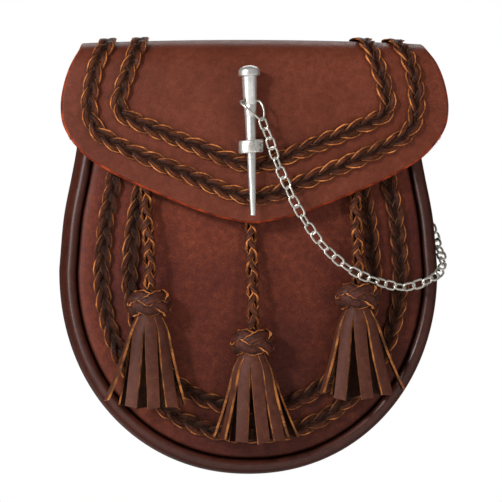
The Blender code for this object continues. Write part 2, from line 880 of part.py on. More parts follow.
def make_hang_ring(name, side):
    turn = np.linspace(-math.pi / 2, math.pi / 2, 11)
    bow = [
        ring_point(
            side,
            RING_NECK + RING_HALF_HEIGHT * math.cos(a),
            RING_HALF_HEIGHT * math.sin(a),
        )
        for a in turn
    ]
    corners = [ring_point(side, 0, s * RING_HALF_HEIGHT) for s in (1, -1)]
    line = [*bow, corners[0], corners[1]]
    tube(name, [line], RING_WIRE, CHAIN_METAL, 1, closed=True)


def make_hang_tab(name, side):
    """A strap of leather folded round the D ring's bar and sewn down on the back."""
    turn = np.linspace(-math.pi / 2, math.radians(120), 9)
    nose = [
        (
            RING_BAR_X + TAB_NOSE_RADIUS * math.cos(a),
            RING_BAR_Y + TAB_NOSE_RADIUS * math.sin(a),
        )
        for a in turn
    ]
    shoulder = (RING_BAR_X - 8 * MM, GAP + TAB_THICK)
    outline = [(TAB_START_X, GAP), *nose, shoulder, (TAB_START_X, GAP + TAB_THICK)]
    turn = np.linspace(0, 2 * math.pi, 12, endpoint=False)
    eye = [
        (
            RING_BAR_X + TAB_EYE_RADIUS * math.cos(a),
            RING_BAR_Y + TAB_EYE_RADIUS * math.sin(a),
        )
        for a in turn
    ]
    outlines = [[(side * x, y) for x, y in points] for points in (outline, eye)]
    flat_outline(name, outlines, TAB_HALF_HEIGHT, RIM_LEATHER)


def ring_loop(centre, along, across, radius, sides):
    """A circle of points in the plane of two directions."""
    turn = np.linspace(0, 2 * math.pi, sides, endpoint=False)
    return [centre + radius * (math.cos(a) * along + math.sin(a) * across) for a in turn]


def end_ring():
    """(middle, direction to the chain, loop) of the ring that joins chain and D ring."""
    bearing = math.radians(-60)
    on_bow = ring_point(
        1,
        RING_NECK + RING_HALF_HEIGHT * math.cos(bearing),
        RING_HALF_HEIGHT * math.sin(bearing),
    )
    out = ring_point(1, math.cos(bearing), math.sin(bearing)) - ring_point(1, 0, 0)
    flat = ring_point(1, -math.sin(bearing), math.cos(bearing)) - ring_point(1, 0, 0)
    across = out.cross(flat)
    across = math.cos(END_RING_TURN) * across + math.sin(END_RING_TURN) * flat
    centre = on_bow + out * (END_RING_RADIUS - END_RING_WIRE - GAP - RING_WIRE)
    return centre, out, ring_loop(centre, out, across, END_RING_RADIUS, 14)


def link_loops():
    """Middle lines of the chain's links, in order from the peg to the end ring."""
    centre, out, _ = end_ring()
    overlap = LINK_OUTLINE[0, 0] - LINK_PITCH / 2
    end = centre + out * (END_RING_RADIUS + overlap)
    route = curve_through(np.vstack([CHAIN_ROUTE, end]), 8)
    count = round(lengths_along(route)[-1] / LINK_PITCH)
    joints = [Vector(point) for point in evenly_spaced(route, count + 1)]
    loops = []
    for number, (start, stop) in enumerate(zip(joints, joints[1:])):
        ahead = (stop - start).normalized()
        side = ahead.cross(Vector((0, -1, 0))).normalized()
        turn = Matrix.Rotation(TWIST_PER_LINK * (number + 0.5), 3, ahead)
        side = turn @ side
        middle = (start + stop) / 2
        half = [a * ahead + b * side for a, b in LINK_OUTLINE.tolist()]
        loops.append([middle + offset for offset in half])
        loops[-1] += [middle - offset for offset in half]
    return loops


def wire_section():
    """A small polygon that the links' wire is drawn with."""
    turn = np.linspace(0, 2 * math.pi, WIRE_SIDES, endpoint=False)
    points = [(WIRE_RADIUS * math.cos(a), WIRE_RADIUS * math.sin(a)) for a in turn]
    curve = flat_outline("wire_section", [points], 0, None)
    curve.data.fill_mode = "NONE"
    return make_cutter(curve)


def wire_links(name, loops, section, slot):
    links = tube(name, loops, 0, slot, 0, closed=True)
    links.data.bevel_mode = "OBJECT"
    links.data.bevel_object = section
    return as_mesh(links)


def make_chain():
    """Every other link is one mesh, and the union of the two fuses them all."""
    hole = peg_point(PEG_HOLE_HEIGHT)
    closed = np.vstack([PEG_RING, PEG_RING[:1]])
    ring = evenly_spaced(curve_through(closed, 4), 17)[:-1]
    links = link_loops()
    links.insert(0, [hole + Vector(point) for point in ring])
    links.append(end_ring()[2])
    section = wire_section()
    chain = wire_links("chain", links[::2], section, CHAIN_METAL)
    others = make_cutter(wire_links("other_links", links[1::2], section, None))
    boolean(chain, others, "UNION")


make_back_panel()
make_gusset()
make_front_panel()
make_flap()
make_plaits()
make_tassels()
make_peg()
make_staple()
cut_post_holes()
for ring_side, side_name in ((-1, "left"), (1, "right")):
    make_hang_ring(f"hang_ring_{side_name}", ring_side)
    make_hang_tab(f"hang_tab_{side_name}", ring_side)
make_chain()
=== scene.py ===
"""Looks of a leather day sporran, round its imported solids: moulded leather, plaited lace,
round cords with woven knots and cut tassels, a polished peg and a linked chain.

Metres, +Z up, front towards -Y, in the solids' own frame.
"""

from math import cos, pi, radians, sin

import bmesh
import bpy
import numpy as np
from mathutils import Matrix, Vector


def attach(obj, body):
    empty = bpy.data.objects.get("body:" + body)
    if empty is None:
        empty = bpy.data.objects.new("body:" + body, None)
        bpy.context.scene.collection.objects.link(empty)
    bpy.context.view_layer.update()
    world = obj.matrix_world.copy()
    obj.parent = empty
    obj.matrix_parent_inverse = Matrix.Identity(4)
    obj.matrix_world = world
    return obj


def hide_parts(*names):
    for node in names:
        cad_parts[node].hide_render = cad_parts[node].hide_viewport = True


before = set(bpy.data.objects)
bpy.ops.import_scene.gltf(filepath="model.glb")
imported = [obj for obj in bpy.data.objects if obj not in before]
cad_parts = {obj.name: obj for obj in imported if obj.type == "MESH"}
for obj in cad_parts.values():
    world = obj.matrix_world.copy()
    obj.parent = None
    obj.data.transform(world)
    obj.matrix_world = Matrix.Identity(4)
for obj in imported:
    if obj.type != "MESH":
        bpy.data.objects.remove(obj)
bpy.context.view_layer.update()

MM = 0.001
GAP = 0.3 * MM  # clearance between neighbouring pieces


def mm(rows):
    """A table written in millimetres, as an array in metres."""
    return np.array(rows, float) * MM


# ---- sizes, as in the solids

SEAM_HALF_WIDTH = 87 * MM
WIDEST_Z = -85 * MM
SEAM_HEIGHT = 94.5 * MM
ROUNDNESS = 2.1
MOUTH_Z = 8 * MM
DRAW_IN = mm(  # height above the widest line, inset of each side
    [(0, 0), (25, 2.2), (45, 6), (58, 8.4), (75, 10.8), (93, 13)]
)
SEAM_DEPTH = 30.5 * MM
ROLL_WIDTH = 4 * MM
ROLL_DEPTH = 2.5 * MM
DOME_REACH = 70 * MM
DOME_DEPTH = 4 * MM
FLANGE = 4 * MM
PANEL_THICK = 2 * MM
GUSSET_THICK = 1.6 * MM
GUSSET_SECTION = mm([  # outset from the seam, depth in front of the back's outer face
    (0.3, 26.5), (0.3, 30.4), (1.1, 32.8), (3.3, 33.8), (5.9, 32), (7.7, 26), (7.6, 10),
    (4.6, 2.8), (-4, 2.8),
])
BACK_OUTSET = 5 * MM
BACK_TOP_Z = 17.5 * MM
BACK_EDGE = mm(  # inset and depth, round the sheet's softened edge
    [(0.9, 0), (0.35, 0.12), (0, 0.7), (0, 1.8), (0.35, 2.38), (0.9, 2.5)]
)

FLAP_THICK = 3 * MM
FLAP_HALF_WIDTH = 97.6 * MM
FLAP_SHIFT = 1.4 * MM
FLAP_ROWS = mm([  # y, z, half width, setback of the sides, droop of the sides
    (3.3, 11.5, 80.8, 0, 0), (3.3, 18.5, 82.3, 0, 0.2), (1, 24.8, 83.8, 0, 1),
    (-5, 28.8, 84.8, 0.3, 2), (-13, 30.2, 85.6, 1, 2.5), (-21.5, 30.5, 86.1, 2, 2.5),
    (-31.2, 29.8, 86.8, 3, 2.4), (-39.4, 26.7, 88.4, 4.2, 1.8), (-45.2, 20.5, 91.6, 5.2, 0.9),
    (-48, 12, 94.8, 5.8, 0.2), (-48.9, 3, 97, 6, 0), (-49.2, -4, 97.6, 6, 0),
    (-49.3, -11, 96.8, 6, 0), (-49.4, -17, 94.1, 6, 0), (-49.4, -22, 90.4, 6, 0),
    (-49.4, -27, 85.6, 6, 0), (-49.4, -31.5, 79.3, 6, 0), (-49.4, -37, 69.4, 6, 0),
    (-49.3, -43, 56.4, 6, 0), (-49, -48.5, 43.3, 6, 0), (-48.5, -53.5, 31, 6, 0),
    (-48, -57.4, 19, 6, 0), (-47.7, -60.3, 4.3, 6, 0),
])
BACK_ROWS = 2  # the stretches of FLAP_ROWS that go up the back
CREST_ROW = 5  # the row on top of the fold

FLAP_PLAIT_END_Z = 16 * MM
FLAP_PLAIT_DRAW_IN = 3 * MM
FLAP_PLAIT_SKEW = 1.3 * MM
FLAP_PLAITS = {  # x, z on the flap's front, right half
    "outer": mm([
        (73.4, 27.6), (78.4, 18), (80.9, 7.5), (81.8, -1), (81.2, -8.5), (77.8, -15.6),
        (72, -20.2), (62.5, -24.9), (52, -29.5), (41, -34.1), (27.5, -39.8), (15, -44.9),
        (6, -47.6), (0, -48.3),
    ]),
    "inner": mm([
        (57.2, 27.6), (61.4, 18), (64.6, 9), (66.8, 1), (67, -4.6), (62.4, -9.2), (51.3, -14.1),
        (38, -19.6), (26, -24.4), (13, -29.6), (5.5, -32), (0, -32.7),
    ]),
}
FRONT_PLAIT_INSETS = {"outer": 12 * MM, "inner": 25.8 * MM}
FRONT_PLAIT_TOP_Z = -27 * MM

CORD_RADIUS = 3 * MM
KNOT_RADIUS = 10.4 * MM
KNOT_FLATNESS = 0.82
KNOT_HEIGHT = 12 * MM
TASSELS = {  # x, z and clearance from the front panel, of the cord's top and of the knot
    "left": mm([(-53.8, -36, 2.8), (-51.8, -101.5, 1.4)]),
    "middle": mm([(-0.8, -52, 0.5), (-0.2, -121, 0.8)]),
    "right": mm([(51.5, -36, 2.8), (52.5, -98, 1.4)]),
}
HEAD_HEIGHT = 3.6 * MM
HEAD_RADIUS = 9.2 * MM
STRIP_THICK = 1.2 * MM
STRIPS = {  # bearing on the head, turn, then in mm tip x, tip y, length from the head's top
    "left": [
        (-88, 8, -21.5, 1, 42.2), (-44, 24, -9.6, -3.4, 45.4), (0, 0, 1.8, -5.2, 46.2),
        (44, -26, 11, -3.8, 45.6), (88, 4, 17.6, 0.5, 44.2), (134, 0, 9.5, 4.2, 44.5),
        (180, 0, -3.6, 4.6, 46), (-134, 0, -13, 4.2, 44.5),
    ],
    "middle": [
        (-106, 8, -19, 2.6, 41), (-70, 0, -15.4, -1.2, 42), (-33, 20, -6, -4.6, 43.5),
        (8, -2, 5.2, -5.4, 44), (47, -26, 13.2, -4.2, 43), (84, 0, 17.8, -0.6, 41),
        (121, -6, 21.4, 3, 40.5), (164, 0, 4, 5, 43), (-150, 0, -9, 5, 43),
    ],
    "right": [
        (-88, 8, -17.8, 1, 42), (-44, 24, -9.4, -3.6, 45.2), (0, 4, 4.4, -5.2, 44.9),
        (44, -20, 14.6, -3.8, 43.2), (88, 6, 23, 0.8, 40.4), (134, 0, 10, 4.2, 42.5),
        (180, 0, -2.2, 4.6, 44), (-134, 0, -11, 4.2, 43),
    ],
}

PEG_Y = -54.9 * MM
PEG_TIP = mm([-0.8, -57.8])  # x, z
PEG_TILT = radians(1.56)
PEG_HOLE_HEIGHT = 57.2 * MM
PEG_HOLE_RADIUS = 1.5 * MM
STAPLE_HEIGHT_ON_PEG = 34.4 * MM
STAPLE_HALF_SIZE = mm([6.3, 5.3, 3.6])
STAPLE_BORE_RADIUS = 2.9 * MM
POST_HALF_SIZE = mm([3, 2.4])
POST_BUTTON_RADIUS = 6.5 * MM
POST_BUTTON_THICK = 1.5 * MM

PEG_RING = mm([  # middle line of the open link, from the centre of the peg's cross hole
    (-2.8, 0, 0), (-4.6, -0.6, -0.4), (-4.4, -2.4, -1.6), (-2.4, -4.1, -3.4), (0, -4.4, -5.5),
    (2.5, -4.3, -7.6), (4.4, -4.2, -9.3), (5.7, -4, -9.8), (6.6, -3.6, -8.5), (6.8, -2.6, -5.5),
    (6.1, -1.2, -2.4), (4.9, -0.3, -0.5), (2.8, 0, 0),
])
CHAIN_ROUTE = mm([  # from the open link, down over the flap and front, round the right side
    (3.15, -58.9, -9.9), (5.7, -57.8, -16.5), (8.2, -56.4, -22), (9.1, -55.6, -26),
    (11, -55, -31), (13, -54.8, -35.8), (15, -54.8, -40.5), (17.2, -54.8, -45),
    (19, -54.5, -49.5), (21.6, -54.2, -54), (24.2, -53.8, -58.7), (28, -53.2, -64.4),
    (32.2, -52.8, -70.3), (36.4, -52.5, -75), (41.6, -52.3, -79.8), (47, -52.3, -84),
    (53, -52, -87.4), (57.4, -50.4, -89.2), (62.2, -48, -90.8), (66.6, -45.8, -92),
    (71.5, -43.8, -93.2), (75.4, -42.2, -93.8), (79.6, -41, -93.2), (84, -40, -92),
    (88.2, -38.6, -90.4), (92.6, -35.6, -88.4), (96, -30.4, -85.2), (97.4, -25, -81.6),
    (97.6, -19.6, -78.4), (97.2, -14.4, -74.8), (96.2, -9, -70.6), (95, -3.8, -65.4),
    (93.6, 0.8, -60), (91.4, 3.8, -53.4), (87, 5, -43.4), (81.6, 5.2, -33), (76, 5.2, -23.8),
])
LINK_PITCH = 5.25 * MM
END_RING_RADIUS = 3.6 * MM
END_RING_WIRE = 0.65 * MM
END_RING_BEARING = radians(-60)  # where it hangs on the D ring's bow
END_RING_TURN = radians(50)

RING_BAR_X = 59 * MM
RING_BAR_Y = 3.2 * MM
RING_WIRE = 1.2 * MM
RING_HALF_HEIGHT = 9.2 * MM
RING_NECK = 2 * MM
RING_LEAN = radians(12)
TAB_START_X = 40 * MM
TAB_BEND = 8 * MM  # how far from its start, and from the ring's bar, a tab starts to bend
TAB_THICK = 3 * MM
TAB_HALF_HEIGHT = 6.5 * MM
TAB_NOSE_RADIUS = 2.9 * MM

# ---- sizes of the fine work

SLOPE_STEP = 1 * MM  # between the places at which a surface's slope is taken
FINE_STEPS = (44, 90)  # points along a side of the seam, and round a quarter of its bottom
COARSE_STEPS = (30, 60)
PANEL_INSETS = mm(  # of its rows of points, from the seam inwards
    [0.1, 0.3, 0.6, 0.9, 1.3, 1.8, 2.8, 4, 5.5, 7.5, 10, 13, 16.5, 20, 24, 28, 33]
)
PANEL_SHARES = np.linspace(0.95, 0.01, 20)  # of the last inset's row, towards the middle
FLAP_GRID = (300, 150)  # rows along it, and points across

EDGE_ROUND = mm([(0.22, 0.05), (0.38, 0.22)])  # out and down, burnished corner
EDGE_RAW = mm([(0.75, 0.6), (1.35, 1.4), (1.55, 2.2), (1.2, 3)])  # the cut below it

LACE_LEVELS = [0, 0.4, 0.92, 1.1, 1.14, 1.1, 0.92, 0.4, 0]  # shares of the thickness
LACE_SLOTS = [1, 1, 0, 0, 0, 0, 1, 1, 0]  # the cut edges on both sides
FOLD_SHARES = [0.24, 0.33, 0.6]  # where a narrower layer ends that is folded over the lace
FOLD_LEVELS = [1.06, 0.72, 0.64, 0.54, 0.25, 0]
FOLDED_SLOTS = [1, 1, 0, 0, 0, 1, 0, 0, 1, 1, 0]
LACE_CREASE = 0.14  # depth of its wrinkles, as a share of the thickness
CREASE_WAVES = (2.7 * MM, 1.6 * MM)
CREASE_LEAN = 3.4  # from one border to the other
RAGGED_WAVES = (1.9 * MM, 0.83 * MM)
LACE_OFFSET = 0.37 * MM  # so that no two laces are alike
LACE_EDGE_WIDTH = 0.5 * MM  # of the bevel of its cut edge

PLAIT_STEP = 0.75 * MM  # between two sections of a strand
PLAIT_SPREAD = 2.55 * MM  # how far a strand swings from the plait's middle line
PLAIT_DRIFT = 0.12 * MM  # how uneven that is
DRIFT_WAVE = 9.1 * MM
PLAIT_LIFT = 0.35 * MM
PLAIT_RISE = 0.75 * MM  # how far it rises and dips
PLAIT_TILT = radians(16)  # how far its outer edge lifts at the margins
PLAIT_LACE = (1.85 * MM, 0.95 * MM)  # half width and thickness
PLAIT_RAGGED = 0.07
PLAIT_SHADE = 0.55  # painted shade: how much darker a strand is painted where it dips under another
PLAIT_PRESS = 0.45  # how much flatter it lies on top of the fold
PRESS_REACH = 12 * MM
FLAP_PLAIT_PERIOD = 26 * MM
FRONT_PLAIT_PERIOD = 27 * MM
FLAP_PLAIT_WEAR = (1, 1)
FRONT_PLAIT_WEAR = (0.7, 0.42)

CORD_CORE = 1.45 * MM
CORD_STEP = 0.4 * MM
CORD_LEAD = 0.25  # how much of its drop runs straight down at each end
CORD_SWERVE = 0.2  # how much of its way sideways is done by then
CORD_RISE = 0.42 * MM
CORD_PERIOD = 22.4 * MM
CORD_LACE = (2 * MM, 1.1 * MM)
CORD_TILT = radians(14)
CORD_RAGGED = 0.14
CORD_EDGE_WIDTH = 0.3 * MM
CORD_PAINTED_SHADING = (0.36, 0.44)  # painted shading: how light its laces are painted in its middle, and how much lighter at its sides
KNOT_BIGHTS = 5
KNOT_SWING = 3.8 * MM
KNOT_RISE = 0.6 * MM
KNOT_SWELL = 0.5 * MM  # how far the laces stand out round the plain bead
KNOT_TAPER = (0.3, 0.2)  # how much narrower it is at its top and its bottom
KNOT_CORE_DEPTH = 0.1 * MM  # of the core below the laces, which is painted dark as shade
KNOT_RAGGED = 0.12
KNOT_LACE = (2.8 * MM, 1.2 * MM)
KNOT_WEAR = 0.75
STRIP_WIDTH = 6.3 * MM
STRIP_GRID = (26, 7)  # sections down a strip, and points across
STRIP_EASE = 1.3  # its sections lie closer together at the head
SPREAD_EASE = 1.4  # and it spreads mostly towards its tip
STRIP_CHAMFER = 0.12 * MM
STRIP_CROWN = (0.75 * MM, 0.15 * MM)  # of its section, at the head and at the tip
STRIP_TUCK = 1.1 * MM  # how far the strips reach up into the knot
STRIP_PINCH = 0.32  # how much closer together they lie there
PINCH_REACH = 6 * MM
STRIP_SLANT = 0.7 * MM  # how much higher one corner of a tip is than the other

SEAM_SHADE_REACH = (0.5 * MM, 1.4 * MM)  # distances from the seam at which the painted shade of its groove fades out
ROLL_POLISH = (4.8 * MM, 6.4 * MM)  # outsets at which the roll's polish fades out

BORE_DEPTH = 12 * MM  # well through the peg
HOLE_WEAR = radians(26)  # the cross hole is worn wider towards the front on its left
STAPLE_SIDE = [  # share of the reach, share of the height, up the collar's side
    (0.86, -0.92), (0.94, -0.88), (0.99, -0.76), (1, -0.4), (1, 0), (1, 0.4), (0.99, 0.76),
    (0.94, 0.88), (0.86, 0.92),
]
STAPLE_SLANT = 0.12  # rise of its right side, as a share of its half height
POST_START = 0.6  # of the collar's half depth, from its middle
BUTTON_SIDE = [(0.94, 0), (1, 0.15), (1, 0.7), (0.88, 1)]  # shares of radius and thickness

RING_SIDES = 14  # of its wire's section
LINK_SIDES = 10
LINK_WIRE = 0.56 * MM
LINK_STRAIGHT = 1.2 * MM  # half of the straight stretch of its side
LINK_HALF_WIDTH = 1.95 * MM
LINK_LEAN = radians(27)  # about its own length, in turn to one side and the other

TAB_STRAP_THICK = 1.42 * MM
TAB_SECTION = [  # of the strap, as shares of half its thickness
    (-0.75, -1), (0.75, -1), (1, -0.7), (1, 0.7), (0.75, 1), (-0.75, 1), (-1, 0.7), (-1, -0.7)
]
STITCH_PITCH = 3.6 * MM
STITCH_LENGTH = 2.5 * MM
STITCH_RADIUS = 0.32 * MM
STITCH_RISE = 0.1 * MM
HEM_STITCH_INSET = 3.2 * MM
TAB_STITCH_INSETS = (2 * MM, 1.5 * MM)
FIBRES = 600  # along the flap's cut edge
FIBRES_FROM_Z = -18 * MM  # and below
FIBRE_DEPTH = (0.4 * MM, 2.4 * MM)  # of its root, below the grain side
FIBRE_ROOT = 0.3 * MM  # how far it starts inside the edge
FIBRE_LENGTH = (0.35 * MM, 1.1 * MM)
FIBRE_RADIUS = 0.06 * MM

# ---- lines and surfaces


def curve_through(rows, steps):
    """A smooth line through the rows, with steps points to each stretch between two."""
    rows = np.asarray(rows, float)
    padded = np.vstack([2 * rows[0] - rows[1], rows, 2 * rows[-1] - rows[-2]])
    t = (np.arange(steps) / steps)[:, None]
    line = [
        start
        + 0.5 * t * (end - before)
        + t * t * (before - 2.5 * start + 2 * end - 0.5 * after)
        + t**3 * 0.5 * (3 * start - before - 3 * end + after)
        for before, start, end, after in zip(padded, padded[1:], padded[2:], padded[3:])
    ]
    return np.vstack([*line, rows[-1]])


def lengths_along(line):
    steps = np.linalg.norm(np.diff(line, axis=0), axis=1)
    return np.concatenate([[0], np.cumsum(steps)])


def evenly_spaced(line, count):
    """count points at equal steps along a line."""
    along = lengths_along(line)
    wanted = np.linspace(0, along[-1], count)
    return np.column_stack([np.interp(wanted, along, column) for column in line.T])


def unit(vectors):
    return vectors / np.linalg.norm(vectors, axis=-1, keepdims=True)


def sideways(line):
    """Unit directions across a flat line, at each of its points."""
    ahead = np.gradient(line, axis=0)
    return unit(np.column_stack([-ahead[:, 1], ahead[:, 0]]))


def arc(middle, radius, start, end, steps, height=None):
    """Points on a circle, or an ellipse of another height, between angles in degrees."""
    turn = np.radians(np.linspace(start, end, steps))
    return middle + np.column_stack([radius * np.cos(turn), (height or radius) * np.sin(turn)])


def circle(steps):
    """(cosine, sine) of equal steps once round."""
    turn = np.linspace(0, 2 * pi, steps, endpoint=False)
    return np.column_stack([np.cos(turn), np.sin(turn)])


def facing(turn):
    """Level unit directions, turned from the front towards the right."""
    return np.stack([np.sin(turn), -np.cos(turn), 0 * turn], -1)


def turned(profile, sides):
    """Rings round +Z through (radius, height) points."""
    return np.array([[(r * x, r * y, height) for x, y in circle(sides)] for r, height in profile])


def standing(outline, y):
    """The points of an (x, z) outline at y, which is one number or one for each."""
    x, z = outline.T
    return np.column_stack([x, y + 0 * x, z])


def seam_outline(side_steps, round_steps):
    """(x, z) points of the seam, from the mouth's left end round the bottom to its right."""
    heights = np.linspace(MOUTH_Z - WIDEST_Z, 0, side_steps, endpoint=False)
    inset = np.interp(heights, *curve_through(DRAW_IN, 8).T)
    side = np.column_stack([SEAM_HALF_WIDTH - inset, WIDEST_Z + heights])
    turn = np.linspace(0, pi / 2, round_steps)
    wide, high = (np.abs(share(turn)) ** (2 / ROUNDNESS) for share in (np.cos, np.sin))
    below = np.column_stack([SEAM_HALF_WIDTH * wide, WIDEST_Z - SEAM_HEIGHT * high])
    below[-1, 0] = 0
    right = np.vstack([side, below])
    return np.vstack([right * (-1, 1), right[-2::-1]])


def outset(outline, distance):
    """The outline moved outwards by distance; its two ends move straight sideways."""
    out = -sideways(outline)
    out[0], out[-1] = (-1, 0), (1, 0)
    return outline + distance * out


SEAM = seam_outline(20, 60)


def seam_distance(x, z):
    """How far the points (x, z) are inside the seam."""
    start, run = SEAM[:-1], np.diff(SEAM, axis=0)
    point = np.stack([x, z], -1)[..., None, :]
    share = np.clip(((point - start) * run).sum(-1) / (run * run).sum(-1), 0, 1)
    return np.linalg.norm(start + share[..., None] * run - point, axis=-1).min(-1)


def panel_y(x, z):
    """The front panel's outer surface."""
    inside = seam_distance(x, z)
    roll = 1 - np.minimum(inside / ROLL_WIDTH, 1)
    dome = 1 - np.minimum(inside / DOME_REACH, 1)
    return -(SEAM_DEPTH + ROLL_DEPTH * np.sqrt(1 - roll**2) + DOME_DEPTH * (1 - dome**2))


def on_panel(x, z, height):
    """The points that are height above the front panel's outer surface at (x, z)."""
    slopes = [
        (panel_y(x + right, z + up) - panel_y(x - right, z - up)) / (2 * SLOPE_STEP)
        for right, up in ((SLOPE_STEP, 0), (0, SLOPE_STEP))
    ]
    out = unit(np.stack([slopes[0], -np.ones_like(x), slopes[1]], -1))
    return np.stack([x, panel_y(x, z), z], -1) + height[..., None] * out


LINE_STEPS = 12
FLAP_LINE = curve_through(FLAP_ROWS, LINE_STEPS)
FLAP_ALONG = lengths_along(FLAP_LINE[:, :2])
CREST = FLAP_ALONG[LINE_STEPS * CREST_ROW]


def flap_surface(x, along):
    """The flap's grain side at x, the leather's length along from its hem on the back."""
    y, z, _, setback, droop = (np.interp(along, FLAP_ALONG, c) for c in FLAP_LINE.T)
    across = (x / FLAP_HALF_WIDTH) ** 2
    return np.stack([x, y + setback * across, z - droop * across], -1)


def flap_normal(x, along):
    side = flap_surface(x + SLOPE_STEP, along) - flap_surface(x - SLOPE_STEP, along)
    onwards = flap_surface(x, along + SLOPE_STEP) - flap_surface(x, along - SLOPE_STEP)
    return unit(np.cross(onwards, side))


def on_flap(x, along, height):
    """The points that are height above the flap's grain side."""
    return flap_surface(x, along) + height[..., None] * flap_normal(x, along)


def flap_x(across, along, inset=0):
    """x on the flap at a share of its half width, which is less by an inset."""
    half_width = np.interp(along, FLAP_ALONG, FLAP_LINE[:, 2]) - inset
    return (across + FLAP_SHIFT / FLAP_HALF_WIDTH) * half_width


def front_along(z):
    """The length along the flap at which its front comes down to z."""
    front = FLAP_ALONG >= CREST
    return np.interp(-z, -FLAP_LINE[front, 1], FLAP_ALONG[front])


# ---- meshes


def add_object(name, data):
    obj = bpy.data.objects.new(name, data)
    bpy.context.scene.collection.objects.link(obj)
    return obj


def smooth(mesh, sharp):
    """Smooth shading but for edges sharper than an angle in degrees."""
    mesh.shade_smooth()
    mesh.set_sharp_from_angle(angle=radians(sharp))


class Surface:
    """Points and faces gathered for one piece, each face with its material's number."""

    def __init__(self):
        self.points, self.faces, self.slots, self.marks = [], [], [], []
        self.count = 0

    def add(self, points, marks=1):
        """Adds a grid of points and gives their numbers.

        marks is what the material reads of each point. On a lace they are the share across
        it, the metres along it, and how far out in the plait it lies, less where it dips, for
        painted shade; on a panel the first is its polish and the last how far it is from the
        painted shade of the seam's groove."""
        shape = points.shape[:2]
        number = self.count + np.arange(shape[0] * shape[1]).reshape(shape)
        self.points.append(points.reshape(-1, 3))
        self.marks.append(np.broadcast_to(marks, (*shape, 3)).reshape(-1))
        self.count += number.size
        return number

    def skin(self, number, slots=0, round_rows=0, round_columns=0):
        """Faces between neighbours in a grid of points' numbers, closed where it goes round.

        slots is one number, or one for each column of faces or each row."""
        full = np.pad(number, ((0, round_rows), (0, round_columns)), "wrap")
        faces = np.stack([full[:-1, :-1], full[1:, :-1], full[1:, 1:], full[:-1, 1:]], -1)
        self.faces += faces.reshape(-1, 4).tolist()
        self.slots += np.broadcast_to(slots, faces.shape[:2]).reshape(-1).tolist()

    def loft(self, rings, slots=0, cap_slot=0, marks=1):
        """A closed solid through rings of equally many points, capped at both ends."""
        number = self.add(rings, marks)
        self.skin(number, slots, round_columns=1)
        self.faces += number[[0, -1]].tolist()
        self.slots += [cap_slot, cap_slot]

    def tube(self, loop, radius, sides):
        """A closed tube of round section, its sections turned towards the loop's middle."""
        ahead = unit(np.roll(loop, -1, axis=0) - np.roll(loop, 1, axis=0))
        out = loop - loop.mean(0)
        out = unit(out - (out * ahead).sum(1)[:, None] * ahead)
        sections = radius * circle(sides) @ np.stack([out, np.cross(ahead, out)], 1)
        self.skin(self.add(loop[:, None] + sections), round_rows=1, round_columns=1)

    def finish(self, name, materials, sharp=40, closed=True):
        """The piece's object; a closed one's faces are turned outwards."""
        mesh = bpy.data.meshes.new(name)
        mesh.from_pydata(np.vstack(self.points).tolist(), [], self.faces)
        for material in materials:
            mesh.materials.append(material)
        mesh.polygons.foreach_set("material_index", self.slots)
        marks = mesh.attributes.new("marks", "FLOAT_VECTOR", "POINT")
        marks.data.foreach_set("vector", np.concatenate(self.marks))
        if closed:
            bm = bmesh.new()
            bm.from_mesh(mesh)
            bmesh.ops.recalc_face_normals(bm, faces=bm.faces)
            bm.to_mesh(mesh)
            bm.free()
        smooth(mesh, sharp)
        return add_object(name, mesh)


def dress(obj, node=None):
    """The piece rides on the pouch, and may replace the solid of a node."""
    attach(obj, "root")
    if node:
        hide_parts(node)
    return obj


def thicken(obj, thickness):
    solid = obj.modifiers.new("thickness", "SOLIDIFY")
    solid.thickness = thickness
    solid.offset = -1
    solid.use_even_offset = True


def plain_solid(rings):
    surface = Surface()
    surface.loft(np.array(rings))
    return surface.finish("plain_solid", [])


def combine(obj, other, operation):
    """Cuts the other object out of obj or joins it on, which uses it up."""
    made = obj.modifiers.new("combined", "BOOLEAN")
    made.operation = operation
    made.object = other
    graph = bpy.context.evaluated_depsgraph_get()
    mesh = bpy.data.meshes.new_from_object(obj.evaluated_get(graph))
    obj.modifiers.clear()
    obj.data = mesh
    bpy.data.objects.remove(other)


def bore(obj, centre, turn, radius, depth):
    """Cuts a round hole through the object, along +Z as turned."""
    tool = plain_solid(turned([(radius, -depth / 2), (radius, depth / 2)], 32))
    tool.data.transform(Matrix.Translation(centre) @ turn)
    combine(obj, tool, "DIFFERENCE")


# ---- materials


def colour(*channels):
    """Red, green and blue from 0 to 255, as light."""
    share = np.array(channels) / 255
    light = np.where(share <= 0.04045, share / 12.92, ((share + 0.055) / 1.055) ** 2.4)
    return (*light.tolist(), 1)


def add_node(tree, kind, inputs=(), output=0, **settings):
    """An output of a new node.

    Its inputs are a row of values and other nodes' outputs, or go by name or number."""
    made = tree.nodes.new("ShaderNode" + kind)
    for name, value in settings.items():
        setattr(made, name, value)
    for socket, value in inputs.items() if isinstance(inputs, dict) else enumerate(inputs):
        if isinstance(value, bpy.types.NodeSocket):
            tree.links.new(value, made.inputs[socket])
        else:
            made.inputs[socket].default_value = value
    return made.outputs[output]


